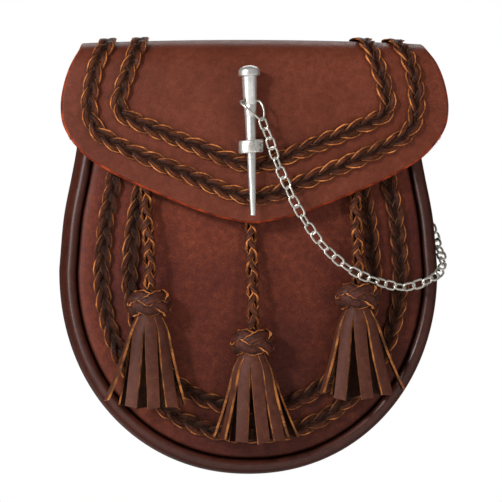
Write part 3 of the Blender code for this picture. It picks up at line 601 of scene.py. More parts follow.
class Finish:
    """One material, whose nodes are added by its methods."""

    def __init__(self, name, **inputs):
        self.material = bpy.data.materials.new(name)
        self.material.use_nodes = True
        self.tree = self.material.node_tree
        self.shader = self.tree.nodes["Principled BSDF"]
        for socket, value in inputs.items():
            self.shader.inputs[socket.replace("_", " ")].default_value = value
        self.place = self.node("TexCoord", output="Object")

    def node(self, kind, inputs=(), output=0, **settings):
        return add_node(self.tree, kind, inputs, output, **settings)

    def mapped(self, vector, scale):
        return self.node("Mapping", {"Vector": vector, "Scale": scale})

    def noise(self, scale, detail=3.0, roughness=0.5, place=None):
        inputs = {"Vector": place or self.place, "Scale": scale}
        inputs |= {"Detail": detail, "Roughness": roughness}
        return self.node("TexNoise", inputs, "Fac")

    def creased_cells(self, scale, crease):
        """Small cells: 0 on their borders, and 1 from crease away, as a share of a cell."""
        inputs = {"Vector": self.place, "Scale": scale}
        inside = self.node("TexVoronoi", inputs, "Distance", feature="DISTANCE_TO_EDGE")
        return self.spread(inside, 0, crease)

    def marks(self):
        return self.node("Attribute", (), "Vector", attribute_name="marks")

    def part(self, vector, axis):
        return self.node("SeparateXYZ", [vector], axis)

    def border(self, marks):
        """How far a place is from a lace's middle line, as a share of its half width."""
        return self.node("Math", [self.part(marks, "X")], operation="ABSOLUTE")

    def ramp(self, value, stops, tints):
        """The tint that value has, from those it has at the stops."""
        tint = self.node("ValToRGB", {"Fac": value}, "Color")
        row = tint.node.color_ramp.elements
        while len(row) < len(stops):
            row.new(1.0)
        for element, stop, stop_tint in zip(row, stops, tints):
            element.position = stop
            element.color = stop_tint
        return tint

    def coloured(self, value, stops, *colours):
        return self.ramp(value, stops, [colour(*channels) for channels in colours])

    def shaded(self, base, value, stops, greys, share=1.0):
        """base, darkened or lightened by the grey that value has."""
        shade = self.ramp(value, stops, [(grey, grey, grey, 1) for grey in greys])
        inputs = {"Factor": share, 6: base, 7: shade}
        return self.node("Mix", inputs, 2, data_type="RGBA", blend_type="MULTIPLY")

    def spread(self, value, low, high, to_low=0.0, to_high=1.0):
        """value from low to high, mapped on to the range from to_low to to_high."""
        return self.node("MapRange", [value, low, high, to_low, to_high])

    def sum(self, first, second, share=1.0):
        """first plus share times second."""
        return self.node("Math", [second, share, first], operation="MULTIPLY_ADD")

    def product(self, first, second):
        return self.node("Math", [first, second], operation="MULTIPLY")

    def drive(self, socket, value):
        self.tree.links.new(value, self.shader.inputs[socket])

    def bump(self, height, distance):
        inputs = {"Height": height, "Distance": distance, "Strength": 1.0}
        self.drive("Normal", self.node("Bump", inputs))


POLISH_ROUGHNESS = 0.32
PLATE_METALLIC = 0.87  # the satin plate scatters some light as a pale solid does
# painted shade: how dark the leather is painted at the seam, where its groove lies in shade
SEAM_SHADE_GREY = 0.22
# painted shade: the darkest grey of the front at its lower right
PAINTED_SHADE_GREY = 0.42
PAINTED_SHADE_LEAN = -0.75  # how much faster the painted shade darkens the front to the right than downwards
LACE_CREASE_SCALE = (1.3, 170, 0)  # across the lace and along it


def leather(name, tints, roughness, grain, sheen=0.12, coat=0.0, seam_shade_and_polish=False, low=None, pale=1.4):
    """Mottled leather with a fine grain of creased cells; grain is its depth.

    tints go from dark to light; sheen is its own gloss and coat the polish on it. If its seam
    shade is asked for, the leather is painted darker towards its marked edge as shade in the
    seam's groove, and is only polished where marked; low is two heights, between which
    painted shade darkens it downwards and to the right; pale is how light its specks are."""
    made = Finish(
        name, Specular_IOR_Level=sheen, Coat_Weight=coat, Coat_Roughness=POLISH_ROUGHNESS
    )
    mottle = made.noise(300, 6, 0.65)
    tone = made.sum(made.product(made.noise(22, 4, 0.55), 0.5), mottle, 0.5)
    base = made.coloured(tone, (0.36, 0.5, 0.64), *tints)
    specks = made.noise(1300, 2, 0.6)
    base = made.shaded(base, specks, (0.3, 0.45, 0.58, 0.7), (0.7, 1, 1, pale), share=0.8)
    if seam_shade_and_polish:
        # painted shade, darker towards the seam's groove
        marks = made.marks()
        base = made.shaded(base, made.part(marks, "Z"), (0, 1), (SEAM_SHADE_GREY, 1))
        made.drive("Coat Weight", made.product(made.part(marks, "X"), coat))
    if low:
        # painted shade: darker downwards and to the right, away from the light at the upper left
        level = made.sum(made.part(made.place, "Z"), made.part(made.place, "X"), PAINTED_SHADE_LEAN)
        base = made.shaded(base, made.spread(level, *low), (0, 1), (PAINTED_SHADE_GREY, 1))
    made.drive("Base Color", base)
    made.drive("Roughness", made.spread(mottle, 0.3, 0.7, roughness - 0.07, roughness + 0.1))
    relief = made.sum(made.creased_cells(1150, 0.18), made.noise(2600, 3, 0.6), 0.8)
    made.bump(made.sum(relief, made.noise(160), 2.5), grain)
    return made.material


def lace_face(name, dark, light, gloss):
    """Dark face of the lace, creased along it, with painted shade at its borders and in the gaps.
    """
    made = Finish(name, Specular_IOR_Level=gloss, Coat_Weight=gloss / 4, Coat_Roughness=0.25)
    marks = made.marks()
    creases = made.noise(1.0, 4, 0.6, made.mapped(marks, LACE_CREASE_SCALE))
    tone = made.sum(made.product(creases, 0.7), made.noise(420, 5, 0.65), 0.3)
    face = made.coloured(tone, (0.36, 0.6), dark, light)
    # painted shade: darker towards the lace's borders, and in the plait's middle and where it
    # dips
    face = made.shaded(face, made.border(marks), (0.45, 0.8), (1, 0.25))
    made.drive("Base Color", made.shaded(face, made.part(marks, "Z"), (0.05, 0.5), (0.2, 1)))
    made.drive("Roughness", made.spread(creases, 0.3, 0.7, 0.32, 0.6))
    relief = made.sum(made.product(creases, 5.0), made.creased_cells(1500, 0.2), 0.6)
    made.bump(made.sum(relief, made.noise(900, 4, 0.7), 2.0), 0.14 * MM)
    return made.material


def cut_leather(name, tints, fuzz, in_plait=False):
    """A raw cut edge: lighter tan, fibrous, with darker stretches; fuzz is its depth.

    In a plait, painted shade makes it dull in the middle and where it dips under another, and
    brightest at the margins."""
    made = Finish(name, Specular_IOR_Level=0.2, Roughness=0.85)
    tone = made.sum(made.product(made.noise(170), 0.6), made.noise(2400), 0.4)
    base = made.coloured(tone, (0.4, 0.5, 0.6), *tints)
    if in_plait:
        # painted shade: dull in the plait's middle and where the lace dips under another
        marks = made.marks()
        base = made.shaded(base, made.part(marks, "Z"), (0.2, 0.85), (0.14, 1))
        base = made.shaded(base, made.border(marks), (0.45, 0.6), (0.5, 1))
    made.drive("Base Color", base)
    made.bump(made.noise(3800, 4, 0.7), fuzz)
    return made.material


def metal(name, tint, roughness, scratch_scale, scratch_depth):
    """Satin plate, with faint marks and a little dullness in patches."""
    made = Finish(name, Metallic=PLATE_METALLIC)
    tone = made.noise(350)
    made.drive("Base Color", made.shaded(colour(*tint), tone, (0.35, 0.6), (0.88, 1)))
    made.drive("Roughness", made.spread(tone, 0.3, 0.7, roughness + 0.08, roughness))
    made.bump(made.noise(1.0, 3, 0.6, made.mapped(made.place, scratch_scale)), scratch_depth)
    return made.material


def cast_metal(name, tint, pitted_from, pitted_to):
    """Rough cast metal, polished, with dark pits that get denser between two places in x."""
    made = Finish(name, Metallic=PLATE_METALLIC)
    wear = made.spread(made.part(made.place, "X"), pitted_from, pitted_to, -0.1, 0.02)
    hollows = made.sum(made.noise(620, 4, 0.7), wear)
    made.drive("Base Color", made.shaded(colour(*tint), hollows, (0.52, 0.6), (1, 0.1)))
    made.drive("Roughness", made.spread(made.noise(300), 0.3, 0.7, 0.24, 0.4))
    dents = made.sum(made.noise(240), made.sum(made.noise(900), hollows, -1.0), 0.3)
    made.bump(dents, 0.25 * MM)
    return made.material


FLAP_LEATHER = leather(
    "flap_leather", [(78, 34, 20), (90, 41, 26), (102, 49, 33)], 0.5, 0.035 * MM,
    sheen=0.17, coat=0.02,
)
# painted shade at the seam's groove, and towards the lower right between its low heights
FRONT_LEATHER = leather(
    "front_leather", [(70, 30, 25), (87, 38, 26), (107, 50, 31)], 0.42, 0.05 * MM,
    coat=0.04, seam_shade_and_polish=True, low=(-0.205, -0.05), pale=1.75,
)
# painted shade at the seam's groove, and polish only where marked
RIM_LEATHER = leather(
    "rim_leather", [(44, 18, 11), (56, 24, 16), (68, 32, 22)], 0.42, 0.025 * MM,
    sheen=0.03, coat=0.65, seam_shade_and_polish=True,
)
FLESH = leather("flesh_side", [(92, 52, 32), (112, 66, 42), (130, 80, 54)], 0.8, 0.08 * MM)
LACE = lace_face("lace_leather", (34, 14, 9), (88, 47, 31), 0.08)
LACE_EDGE = cut_leather(
    "lace_cut_edge", [(84, 42, 20), (146, 82, 40), (204, 126, 68)], 0.05 * MM, in_plait=True
)
KNOT_FACE = lace_face("knot_leather", (30, 12, 7), (80, 38, 25), 0.17)
FLAP_EDGE = cut_leather("flap_cut_edge", [(84, 26, 10), (126, 42, 16), (166, 66, 28)], 0.1 * MM)
STRIP_FACE = leather("strip_leather", [(58, 30, 21), (72, 39, 29), (85, 49, 37)], 0.5, 0.02 * MM)
STRIP_EDGE = cut_leather(
    "strip_cut_edge", [(66, 38, 20), (112, 66, 32), (158, 98, 50)], 0.04 * MM
)
# painted shade: the strips' flesh side is painted dark, so the gaps between strips read as shade
STRIP_FLESH_PAINTED_SHADE = leather(
    "strip_flesh_painted_shade", [(28, 15, 10), (40, 23, 16), (52, 31, 22)], 0.85, 0.06 * MM, sheen=0.03
)
PEG_METAL = metal("peg_metal", (226, 224, 220), 0.27, (1500, 1500, 160), 0.012 * MM)
STAPLE_METAL = cast_metal("staple_metal", (220, 216, 208), -0.004, 0.003)
CHAIN_METAL = metal("chain_metal", (214, 209, 198), 0.24, (900, 900, 900), 0.02 * MM)
THREAD = cut_leather("thread", [(70, 48, 34), (92, 64, 46), (112, 80, 58)], 0.05 * MM)

# ---- pouch


def make_front_panel():
    outline = seam_outline(*FINE_STEPS)
    insets = [0, 0, *PANEL_INSETS, *PANEL_INSETS[-1] + 0 * PANEL_SHARES]
    # painted shade of the seam's groove: 0 where it is painted darkest, 1 from its reach on
    unshaded = np.interp(insets, SEAM_SHADE_REACH, (0, 1))
    middle = np.array([0, MOUTH_Z])
    inner = outset(outline, -PANEL_INSETS[-1])
    lines = [outset(outline, -inset) for inset in PANEL_INSETS]
    lines += [middle + share * (inner - middle) for share in PANEL_SHARES]
    rows = [standing(outline, -depth) for depth in (SEAM_DEPTH - FLANGE, SEAM_DEPTH)]
    rows += [standing(line, panel_y(*line.T)) for line in lines]
    surface = Surface()
    surface.skin(surface.add(np.array(rows)[::-1], unshaded[::-1, None, None]))
    obj = surface.finish("front_panel_skin", [FRONT_LEATHER, FLESH], closed=False)
    thicken(obj, PANEL_THICK)
    dress(obj, "front_panel")


def make_gusset():
    outline = seam_outline(*FINE_STEPS)
    section = curve_through(GUSSET_SECTION, 7)
    distance = section[:, 0]
    by_seam = np.arange(len(section)) < len(section) // 2
    # painted shade of the seam's groove: 0 where it is painted darkest, 1 from its reach on
    unshaded = np.where(by_seam, np.interp(distance, SEAM_SHADE_REACH, (0, 1)), 1)
    polish = np.where(by_seam, np.interp(distance, ROLL_POLISH, (1, 0)), 0)
    rows = np.array([standing(outset(outline, out), -depth) for out, depth in section])
    surface = Surface()
    surface.skin(surface.add(rows, np.column_stack([polish, polish, unshaded])[:, None]))
    obj = surface.finish("gusset_skin", [RIM_LEATHER, FLESH], closed=False)
    thicken(obj, GUSSET_THICK)
    dress(obj, "gusset")


def make_back_panel():
    outline = outset(seam_outline(*COARSE_STEPS), BACK_OUTSET)
    corner = outline[-1, 0] - 2 * MM
    outline = np.vstack([(-corner, BACK_TOP_Z), outline, (corner, BACK_TOP_Z)])
    out = -sideways(outline)
    out[0], out[-1] = (-0.7, 0.7), (0.7, 0.7)
    surface = Surface()
    rings = [standing(outline - inset * out, -depth) for inset, depth in BACK_EDGE]
    surface.loft(np.array(rings))
    obj = surface.finish("back_panel_skin", [RIM_LEATHER])
    dress(obj, "back_panel")


def around(grid):
    """A grid's border, once round."""
    return np.concatenate([grid[:-1, 0], grid[-1, :-1], grid[:0:-1, -1], grid[0, :0:-1]])


def make_flap():
    """The grain side, a burnished corner all round it, a raw cut and the flesh side."""
    rows, columns = FLAP_GRID
    along = np.linspace(0, FLAP_ALONG[-1], rows)[:, None]
    across = 0.5 * np.sin(np.linspace(-pi / 2, pi / 2, columns))
    across += 0.5 * np.linspace(-1, 1, columns)
    x = flap_x(across, along, EDGE_RAW[:, 0].max())
    grain, normal = flap_surface(x, along + 0 * x), flap_normal(x, along + 0 * x)
    points, normals = around(grain), around(normal)
    ahead = np.roll(points, -1, axis=0) - np.roll(points, 1, axis=0)
    outwards = unit(np.cross(ahead, normals))
    outwards *= np.sign((outwards * (points - grain.mean((0, 1)))).sum())
    edge = [points + out * outwards - down * normals for out, down in [*EDGE_ROUND, *EDGE_RAW]]
    surface = Surface()
    top, bottom = surface.add(grain), surface.add(grain - FLAP_THICK * normal)
    surface.skin(top)
    surface.skin(bottom, 2)
    rings = np.vstack([around(top), surface.add(np.array(edge)), around(bottom)])
    slots = [0] * len(EDGE_ROUND) + [1] * (len(EDGE_RAW) + 1)
    surface.skin(rings, np.array(slots)[:, None], round_columns=1)
    obj = surface.finish("flap_skin", [FLAP_LEATHER, FLAP_EDGE, FLESH], sharp=60)
    dress(obj, "flap")


# ---- lace work


def lace_section(edge, folded):
    """(shares of the half width, of the thickness, faces' slots) round a lace's section.

    edge is the share that the bevel of the cut edge takes."""
    top = np.linspace(edge - 1, 1 - edge, 5)
    share = [-0.93, -1.0, *top, 1.0, 0.93]
    if not folded:
        return np.array(share), np.array(LACE_LEVELS), LACE_SLOTS
    share[5:7] = [*FOLD_SHARES, 1 - edge]
    return np.array(share), np.array([*LACE_LEVELS[:5], *FOLD_LEVELS]), FOLDED_SLOTS


def lay_lace(
    surface, centres, heights, tilts, place, lace, outward, ragged, folded=False,
    edge_width=LACE_EDGE_WIDTH,
):
    """A flat lace along centres in a surface's own two coordinates, at heights above it.

    lace is its half width and thickness; outward tells of a point's place across it how
    far out in the plait it lies, less where it dips, from which the materials paint shade;
    ragged is how uneven its cut edges are."""
    half_width, thickness = (np.broadcast_to(v, len(centres))[:, None] for v in lace)
    edge = edge_width / half_width.mean()
    share, level, slots = lace_section(edge, folded)
    across = sideways(centres)[..., None]
    along = (lengths_along(centres) + surface.count * LACE_OFFSET)[:, None]
    side = np.sign(share)
    long, short = (along / wave for wave in RAGGED_WAVES)
    wide = share * half_width * (1 + ragged * np.sin(long + 2 * side) * np.sin(short + side))
    long, short = (along / wave for wave in CREASE_WAVES)
    crease = LACE_CREASE * np.sin(CREASE_LEAN * share + short) * np.sin(long + 1)
    high = thickness * (level + crease * (np.abs(share) < 0.9 - edge))
    sine, cosine = np.sin(tilts)[:, None], np.cos(tilts)[:, None]
    out = wide * cosine - high * sine
    up = heights[:, None] + wide * sine + high * cosine
    first, second = (centres[:, i, None] + out * across[:, i] for i in (0, 1))
    marks = np.stack(np.broadcast_arrays(share, along, outward(wide)), -1)
    surface.loft(place(first, second, up), slots, 1, marks)


def make_plait(node, route, place, period, wear, folded):
    """Three flat laces; each is on top while it crosses from the middle outwards.

    wear is how bright the cut edges are, on the right of the route and on its left."""
    line = evenly_spaced(route, int(lengths_along(route)[-1] / PLAIT_STEP))
    travelled = lengths_along(line)
    press = 1 - PLAIT_PRESS * np.exp(-(((line[:, 1] - CREST) / PRESS_REACH) ** 2))
    lace = (PLAIT_LACE[0], PLAIT_LACE[1] * press)
    surface = Surface()
    for strand in range(3):
        phase = 2 * pi * (travelled / period + strand / 3)
        drift = PLAIT_DRIFT * np.sin(travelled / DRIFT_WAVE + 2.1 * strand)
        swing = (PLAIT_SPREAD * np.sin(phase) + drift)[:, None]
        heights = GAP + press * (PLAIT_RISE * (1 + np.sin(2 * phase)) + PLAIT_LIFT)
        # painted shade where the strand dips under another, carried to the materials in the marks
        dip_shade = np.clip(1 + PLAIT_SHADE * np.sin(2 * phase), 0, 1)[:, None]

        def outward(wide):
            out = dip_shade * (swing + wide) / (PLAIT_SPREAD + PLAIT_LACE[0])
            return np.where(out < 0, -out * wear[0], out * wear[1])

        centres = line + swing * sideways(line)
        tilts = PLAIT_TILT * press * np.sin(phase)
        lay_lace(surface, centres, heights, tilts, place, lace, outward, PLAIT_RAGGED, folded)
    obj = surface.finish(f"{node}_laces", [LACE, LACE_EDGE])
    dress(obj, node)


def flap_plait_route(front_half):
    """(x, along) down the left half and up the right, each end carried over the fold."""
    front = np.array([(x, front_along(z)) for x, z in front_half])
    top_x = front_half[0, 0]
    back = BACK_ROWS * LINE_STEPS
    end = np.interp(FLAP_PLAIT_END_Z, FLAP_LINE[:back, 1], FLAP_ALONG[:back])
    over = [(top_x - FLAP_PLAIT_DRAW_IN, end), (top_x - FLAP_PLAIT_DRAW_IN / 2, CREST)]
    half = np.vstack([over, front])
    route = curve_through(np.vstack([half * (-1, 1), half[-2::-1]]), LINE_STEPS)
    share = (front_along(0) - route[:, 1]) / (front_along(0) - CREST)
    route[:, 0] += FLAP_PLAIT_SKEW * np.clip(share, 0, 1)
    return route


def make_plaits():
    for name, half in FLAP_PLAITS.items():
        route = flap_plait_route(half)
        node = f"flap_braid_{name}"
        make_plait(node, route, on_flap, FLAP_PLAIT_PERIOD, FLAP_PLAIT_WEAR, folded=True)
    for name, inset in FRONT_PLAIT_INSETS.items():
        route = outset(seam_outline(40, 80), -inset)
        route = route[route[:, 1] <= FRONT_PLAIT_TOP_Z]
        node = f"front_braid_{name}"
        make_plait(node, route, on_panel, FRONT_PLAIT_PERIOD, FRONT_PLAIT_WEAR, folded=False)


def before_panel(place, half_depth):
    """The middle of a thing of that half depth, clear of the front panel and its plaits."""
    x, z, clearance = place
    return Vector((x, panel_y(x, z) - clearance - half_depth, z))


def knot_centre(side):
    return before_panel(TASSELS[side][1], KNOT_FLATNESS * KNOT_RADIUS)


def cord_line(side):
    """Middle line of a tassel's cord, from under the flap to the top of its knot."""
    start = before_panel(TASSELS[side][0], CORD_RADIUS)
    end = knot_centre(side) + Vector((0, 0, KNOT_HEIGHT / 2 + GAP))
    lead = CORD_LEAD * (start.z - end.z)
    below = start + Vector((CORD_SWERVE * (end.x - start.x), 0, -lead))
    return curve_through([start, below, end + Vector((0, 0, lead)), end], 8)


def make_cord(side):
    """Four laces plaited round: two wind one way, two the other, over and under."""
    line = cord_line(side)
    length = lengths_along(line)

    def place(run, along, height):
        middle = np.stack([np.interp(along, length, column) for column in line.T], -1)
        return middle + (CORD_CORE + height)[..., None] * facing(run / CORD_CORE)

    travelled = np.linspace(0, length[-1], int(length[-1] / CORD_STEP))
    spin = 2 * pi * travelled / CORD_PERIOD
    surface = Surface()
    for strand in range(4):
        hand = 1 if strand < 2 else -1
        turn = hand * spin + pi * strand + pi / 4
        heights = CORD_RISE * (1 + hand * np.cos(2 * spin))
        reach = CORD_CORE + heights + CORD_LACE[1] / 2
        lace = (CORD_LACE[0] * CORD_CORE / reach, CORD_LACE[1])

        def outward(wide):
            # painted shading: darker where the cord faces the front, lighter at its sides
            to_side = np.abs(np.sin(turn[:, None] + wide / CORD_CORE))
            return CORD_PAINTED_SHADING[0] + CORD_PAINTED_SHADING[1] * to_side

        lay_lace(
            surface, np.column_stack([turn * CORD_CORE, travelled]), heights,
            CORD_TILT * np.sin(spin * 2), place, lace, outward, CORD_RAGGED,
            edge_width=CORD_EDGE_WIDTH,
        )
    obj = surface.finish(f"tassel_cord_{side}_laces", [LACE, LACE_EDGE])
    return dress(obj, f"tassel_cord_{side}"), line


def make_knot(side):
    """A woven knot of one wide lace, three times over and under round a core painted dark as
    shade.
    """
    centre = np.array(knot_centre(side))
    core = KNOT_RADIUS + KNOT_SWELL - KNOT_RISE - KNOT_LACE[1]
    top = KNOT_HEIGHT / 2

    def place(run, z, height):
        turn = run / core
        bulge = 1 - np.where(z > 0, *KNOT_TAPER) * (z / top) ** 2
        reach = core * bulge + height
        point = [reach * np.sin(turn), -KNOT_FLATNESS * reach * np.cos(turn), z]
        return centre + np.stack(point, -1)

    def outward(wide):
        return 0 * wide + KNOT_WEAR

    turn = np.linspace(0, 2 * pi, 121)
    surface = Surface()
    for strand in range(3):
        phase = KNOT_BIGHTS / 3 * turn + 2 * pi * strand / 3 + 0.5
        centres = np.column_stack([turn * core, KNOT_SWING * np.sin(phase)])
        heights = KNOT_RISE * (1 + np.sin(2 * phase))
        lay_lace(surface, centres, heights, 0 * phase, place, KNOT_LACE, outward, KNOT_RAGGED)
    around_core = core * np.linspace(0, 2 * pi, 32, endpoint=False)
    runs, levels = np.meshgrid(around_core, np.linspace(STRIP_TUCK + GAP - top, top, 12))
    # painted shade: the core's marks give it the lace face's darkest border shade
    surface.loft(place(runs, levels, 0 * levels - KNOT_CORE_DEPTH))
    obj = surface.finish(f"tassel_knot_{side}_laces", [KNOT_FACE, LACE_EDGE])
    return dress(obj, f"tassel_knot_{side}")


def strip_rings(bearing, turn, tip_x, tip_y, length):
    """Sections of one strip of a tassel, from the top of its head down to its tip."""
    bearing, turn = radians(bearing), radians(turn)
    root = facing(bearing)[:2] * (1, KNOT_FLATNESS) * (HEAD_RADIUS - STRIP_THICK / 2)
    share = np.linspace(0, 1, STRIP_GRID[0]) ** STRIP_EASE
    columns = np.linspace(-1, 1, STRIP_GRID[1])
    drop = share * (length * MM + STRIP_TUCK)
    pinch = 1 - STRIP_PINCH * np.exp(-((drop / PINCH_REACH) ** 2))
    spread = share[:, None] ** SPREAD_EASE * (mm([tip_x, tip_y]) - root)
    spine = np.column_stack([root * pinch[:, None] + spread, STRIP_TUCK - drop])
    out = facing(bearing + turn * share)[:, None]
    across = facing(bearing + turn * share + pi / 2)[:, None]
    bow = np.interp(share, (0, 1), STRIP_CROWN)[:, None] * (0.5 - columns**2)
    halves = []
    for chamfer, level in ((STRIP_CHAMFER, 0.5), (0, -0.5)):
        wide = ((STRIP_WIDTH / 2 - chamfer) * columns)[:, None]
        deep = (bow + level * STRIP_THICK)[..., None]
        halves.append(spine[:, None] + wide * across + deep * out)
        halves[-1][-1, :, 2] += STRIP_SLANT * sin(3 * bearing + 1) * columns
    return np.concatenate([halves[0], halves[1][:, ::-1]], axis=1)


def make_tassel(side):
    """Strips of one cut band of leather, rolled tight under the knot."""
    top = np.array(knot_centre(side)) - (0, 0, KNOT_HEIGHT / 2 + GAP)
    surface = Surface()
    for row in STRIPS[side]:
        rings = strip_rings(*row)
        count = rings.shape[1] // 2 - 1
        # each strip's inner faces take the flesh side that is painted dark as shade
        surface.loft(top + rings, [*count * [0], 1, *count * [2], 1], 1)
    reach = HEAD_RADIUS - 1.5 * STRIP_THICK
    core = turned([(reach, 0), (0.9 * reach, -1.6 * HEAD_HEIGHT)], 28)
    surface.loft(top + core * (1, KNOT_FLATNESS, 1))
    obj = surface.finish(f"tassel_{side}_strips", [STRIP_FACE, STRIP_EDGE, STRIP_FLESH_PAINTED_SHADE])
    return dress(obj, f"tassel_{side}")


def make_tassels():
    for side in TASSELS:
        cord, line = make_cord(side)
        knot = make_knot(side)
        tassel = make_tassel(side)


# ---- peg and staple

PEG_TURN = Matrix.Rotation(-PEG_TILT, 4, "Y")


def peg_point(height):
    """A point on the peg's axis, height above its tip."""
    x, z = PEG_TIP
    return Vector((x - height * sin(PEG_TILT), PEG_Y, z + height * cos(PEG_TILT)))


def peg_profile():
    """(radius, height above the tip), down the peg's outer side."""
    dome = arc((0, 71.8), 5.4, 89.5, 0, 12, height=3)
    rim = arc((4.7, 70.2), 0.7, 0, -80, 5)
    neck = arc((4.45, 68.9), 0.6, 100, 178, 5)
    steps = []
    for height, above, below in ((55.3, 3.33, 3.27), (49.3, 2.9, 2.84)):
        steps += [(above, height + 0.25), (above - 0.18, height), (below, height - 0.25)]
    foot = arc((1.05, 0.3), 0.3, 0, -88, 5)
    return mm([*dome, *rim, *neck, *steps, (2.28, 30.8), *foot])


def make_peg():
    surface = Surface()
    surface.loft(turned(peg_profile(), 48))
    obj = surface.finish("peg_turned", [PEG_METAL], sharp=35)
    obj.data.transform(Matrix.Translation(peg_point(0)) @ PEG_TURN)
    for wear in (0, HOLE_WEAR):
        turn = Matrix.Rotation(wear, 4, "Z") @ Matrix.Rotation(pi / 2, 4, "Y")
        bore(obj, peg_point(PEG_HOLE_HEIGHT), turn, PEG_HOLE_RADIUS, BORE_DEPTH)
    smooth(obj.data, 35)
    dress(obj, "peg")


def make_staple():
    """A cast collar round the peg, on a post that a button holds inside the pouch."""
    centre = peg_point(STAPLE_HEIGHT_ON_PEG)
    sides = 72
    slant = np.outer(circle(sides)[:, 0], (0, 0, STAPLE_SLANT))
    surface = Surface()
    surface.loft(STAPLE_HALF_SIZE * (turned(STAPLE_SIDE, sides) + slant) + centre)
    obj = surface.finish("staple_cast", [STAPLE_METAL], sharp=50)
    inside = panel_y(centre.x, centre.z) + PANEL_THICK + GAP
    corners = POST_HALF_SIZE * [(1, 1), (-1, 1), (-1, -1), (1, -1)] + (centre.x, centre.z)
    ends = (centre.y + POST_START * STAPLE_HALF_SIZE[1], inside + POST_BUTTON_THICK / 2)
    combine(obj, plain_solid([standing(corners, y) for y in ends]), "UNION")
    size = (POST_BUTTON_RADIUS, POST_BUTTON_RADIUS, POST_BUTTON_THICK)
    button = (turned(BUTTON_SIDE, sides) * size)[..., [0, 2, 1]]
    combine(obj, plain_solid(button + (centre.x, inside, centre.z)), "UNION")
    bore(obj, centre, PEG_TURN, STAPLE_BORE_RADIUS, 4 * STAPLE_HALF_SIZE[2])
    smooth(obj.data, 40)
    dress(obj, "staple")


# ---- rings, tabs and chain


def ring_point(side, along, up):
    """A point on a D ring's plane, along outwards from its bar; side is -1 or 1."""
    x = RING_BAR_X + along * cos(RING_LEAN)
    return np.array((side * x, RING_BAR_Y + along * sin(RING_LEAN), up))


def make_hang_ring(node, side):
    bow = arc((RING_NECK, 0), RING_HALF_HEIGHT, -90, 90, 32)
    bar = [(0, RING_HALF_HEIGHT * share) for share in np.linspace(1, -1, 12)]
    surface = Surface()
    surface.tube(np.array([ring_point(side, *at) for at in [*bow, *bar]]), RING_WIRE, RING_SIDES)
    dress(surface.finish(f"{node}_wire", [CHAIN_METAL]), node)


def end_ring():
    """(middle, direction to the chain, loop) of the ring that joins chain and D ring."""
    cosine, sine = cos(END_RING_BEARING), sin(END_RING_BEARING)
    on_bow = ring_point(1, RING_NECK + RING_HALF_HEIGHT * cosine, RING_HALF_HEIGHT * sine)
    out = ring_point(1, cosine, sine) - ring_point(1, 0, 0)
    flat = ring_point(1, -sine, cosine) - ring_point(1, 0, 0)
    across = cos(END_RING_TURN) * np.cross(out, flat) + sin(END_RING_TURN) * flat
    centre = on_bow + out * (END_RING_RADIUS - END_RING_WIRE - GAP - RING_WIRE)
    return centre, out, centre + END_RING_RADIUS * circle(40) @ np.array([out, across])


def make_chain():
    centre, out, loop = end_ring()
    overlap = LINK_STRAIGHT + LINK_HALF_WIDTH - LINK_PITCH / 2
    end = centre + out * (END_RING_RADIUS + overlap)
    route = curve_through(np.vstack([CHAIN_ROUTE, end]), 8)
    joints = evenly_spaced(route, round(lengths_along(route)[-1] / LINK_PITCH) + 1)
    half = arc((LINK_STRAIGHT, 0), LINK_HALF_WIDTH, -90, 90, 12)
    outline = np.vstack([half, -half])
    surface = Surface()
    for number, (start, stop) in enumerate(zip(joints, joints[1:])):
        ahead = Vector(stop - start).normalized()
        side = ahead.cross(Vector((0, -1, 0))).normalized()
        lean = LINK_LEAN * (sin(1.1 * number) + (1 if number % 2 else -1))
        side = Matrix.Rotation(lean, 3, ahead) @ side
        link = (start + stop) / 2 + outline @ np.array([ahead, side])
        surface.tube(link, LINK_WIRE, LINK_SIDES)
    open_link = curve_through(np.vstack([PEG_RING, PEG_RING[:1]]), 6)
    open_link = evenly_spaced(open_link, 64)[:-1] + peg_point(PEG_HOLE_HEIGHT)
    surface.tube(open_link, LINK_WIRE, LINK_SIDES)
    surface.tube(loop, END_RING_WIRE, LINK_SIDES)
    dress(surface.finish("chain_links", [CHAIN_METAL]), "chain")


def make_hang_tab(node, side):
    """A strap of leather folded round the D ring's bar and sewn down on the back."""
    half = TAB_STRAP_THICK / 2
    lower, upper = GAP + half, GAP + TAB_THICK - half
    shoulder = RING_BAR_X - TAB_BEND
    bends = [
        (TAB_START_X, lower),
        (TAB_START_X + TAB_BEND, lower),
        *arc((RING_BAR_X, RING_BAR_Y), TAB_NOSE_RADIUS - half, -90, 120, 22),
        (shoulder, upper),
        (shoulder - 5 * MM, upper),
        (TAB_START_X, upper),
    ]
    line = evenly_spaced(curve_through(bends, 4), 90)
    rings = []
    for deep, high in half * np.array(TAB_SECTION):
        level = np.sign(high) * (TAB_HALF_HEIGHT - half + abs(high))
        x, y = (line + deep * sideways(line)).T
        rings.append(np.column_stack([side * x, y, level + 0 * x]))
    surface = Surface()
    surface.loft(np.stack(rings, 1))
    dress(surface.finish(f"{node}_strap", [RIM_LEATHER], sharp=50), node)


def make_rings():
    for side, side_name in ((-1, "left"), (1, "right")):
        make_hang_ring(f"hang_ring_{side_name}", side)
        make_hang_tab(f"hang_tab_{side_name}", side)


# ---- thread and fibres


def add_thread(surface, start, end, out, radius, rise, sides=6):
    """One stitch or fibre from start to end, bowed outwards by rise."""
    share = np.array([0, 0.2, 0.5, 0.8, 1])[:, None]
    line = start + share * (end - start) + rise * np.sin(pi * share) * out
    thin = radius * np.array([0.55, 0.95, 1, 0.95, 0.55])[:, None, None]
    section = circle(sides) @ np.array([out, np.cross(unit(end - start), out)])
    surface.loft(line[:, None] + thin * section)


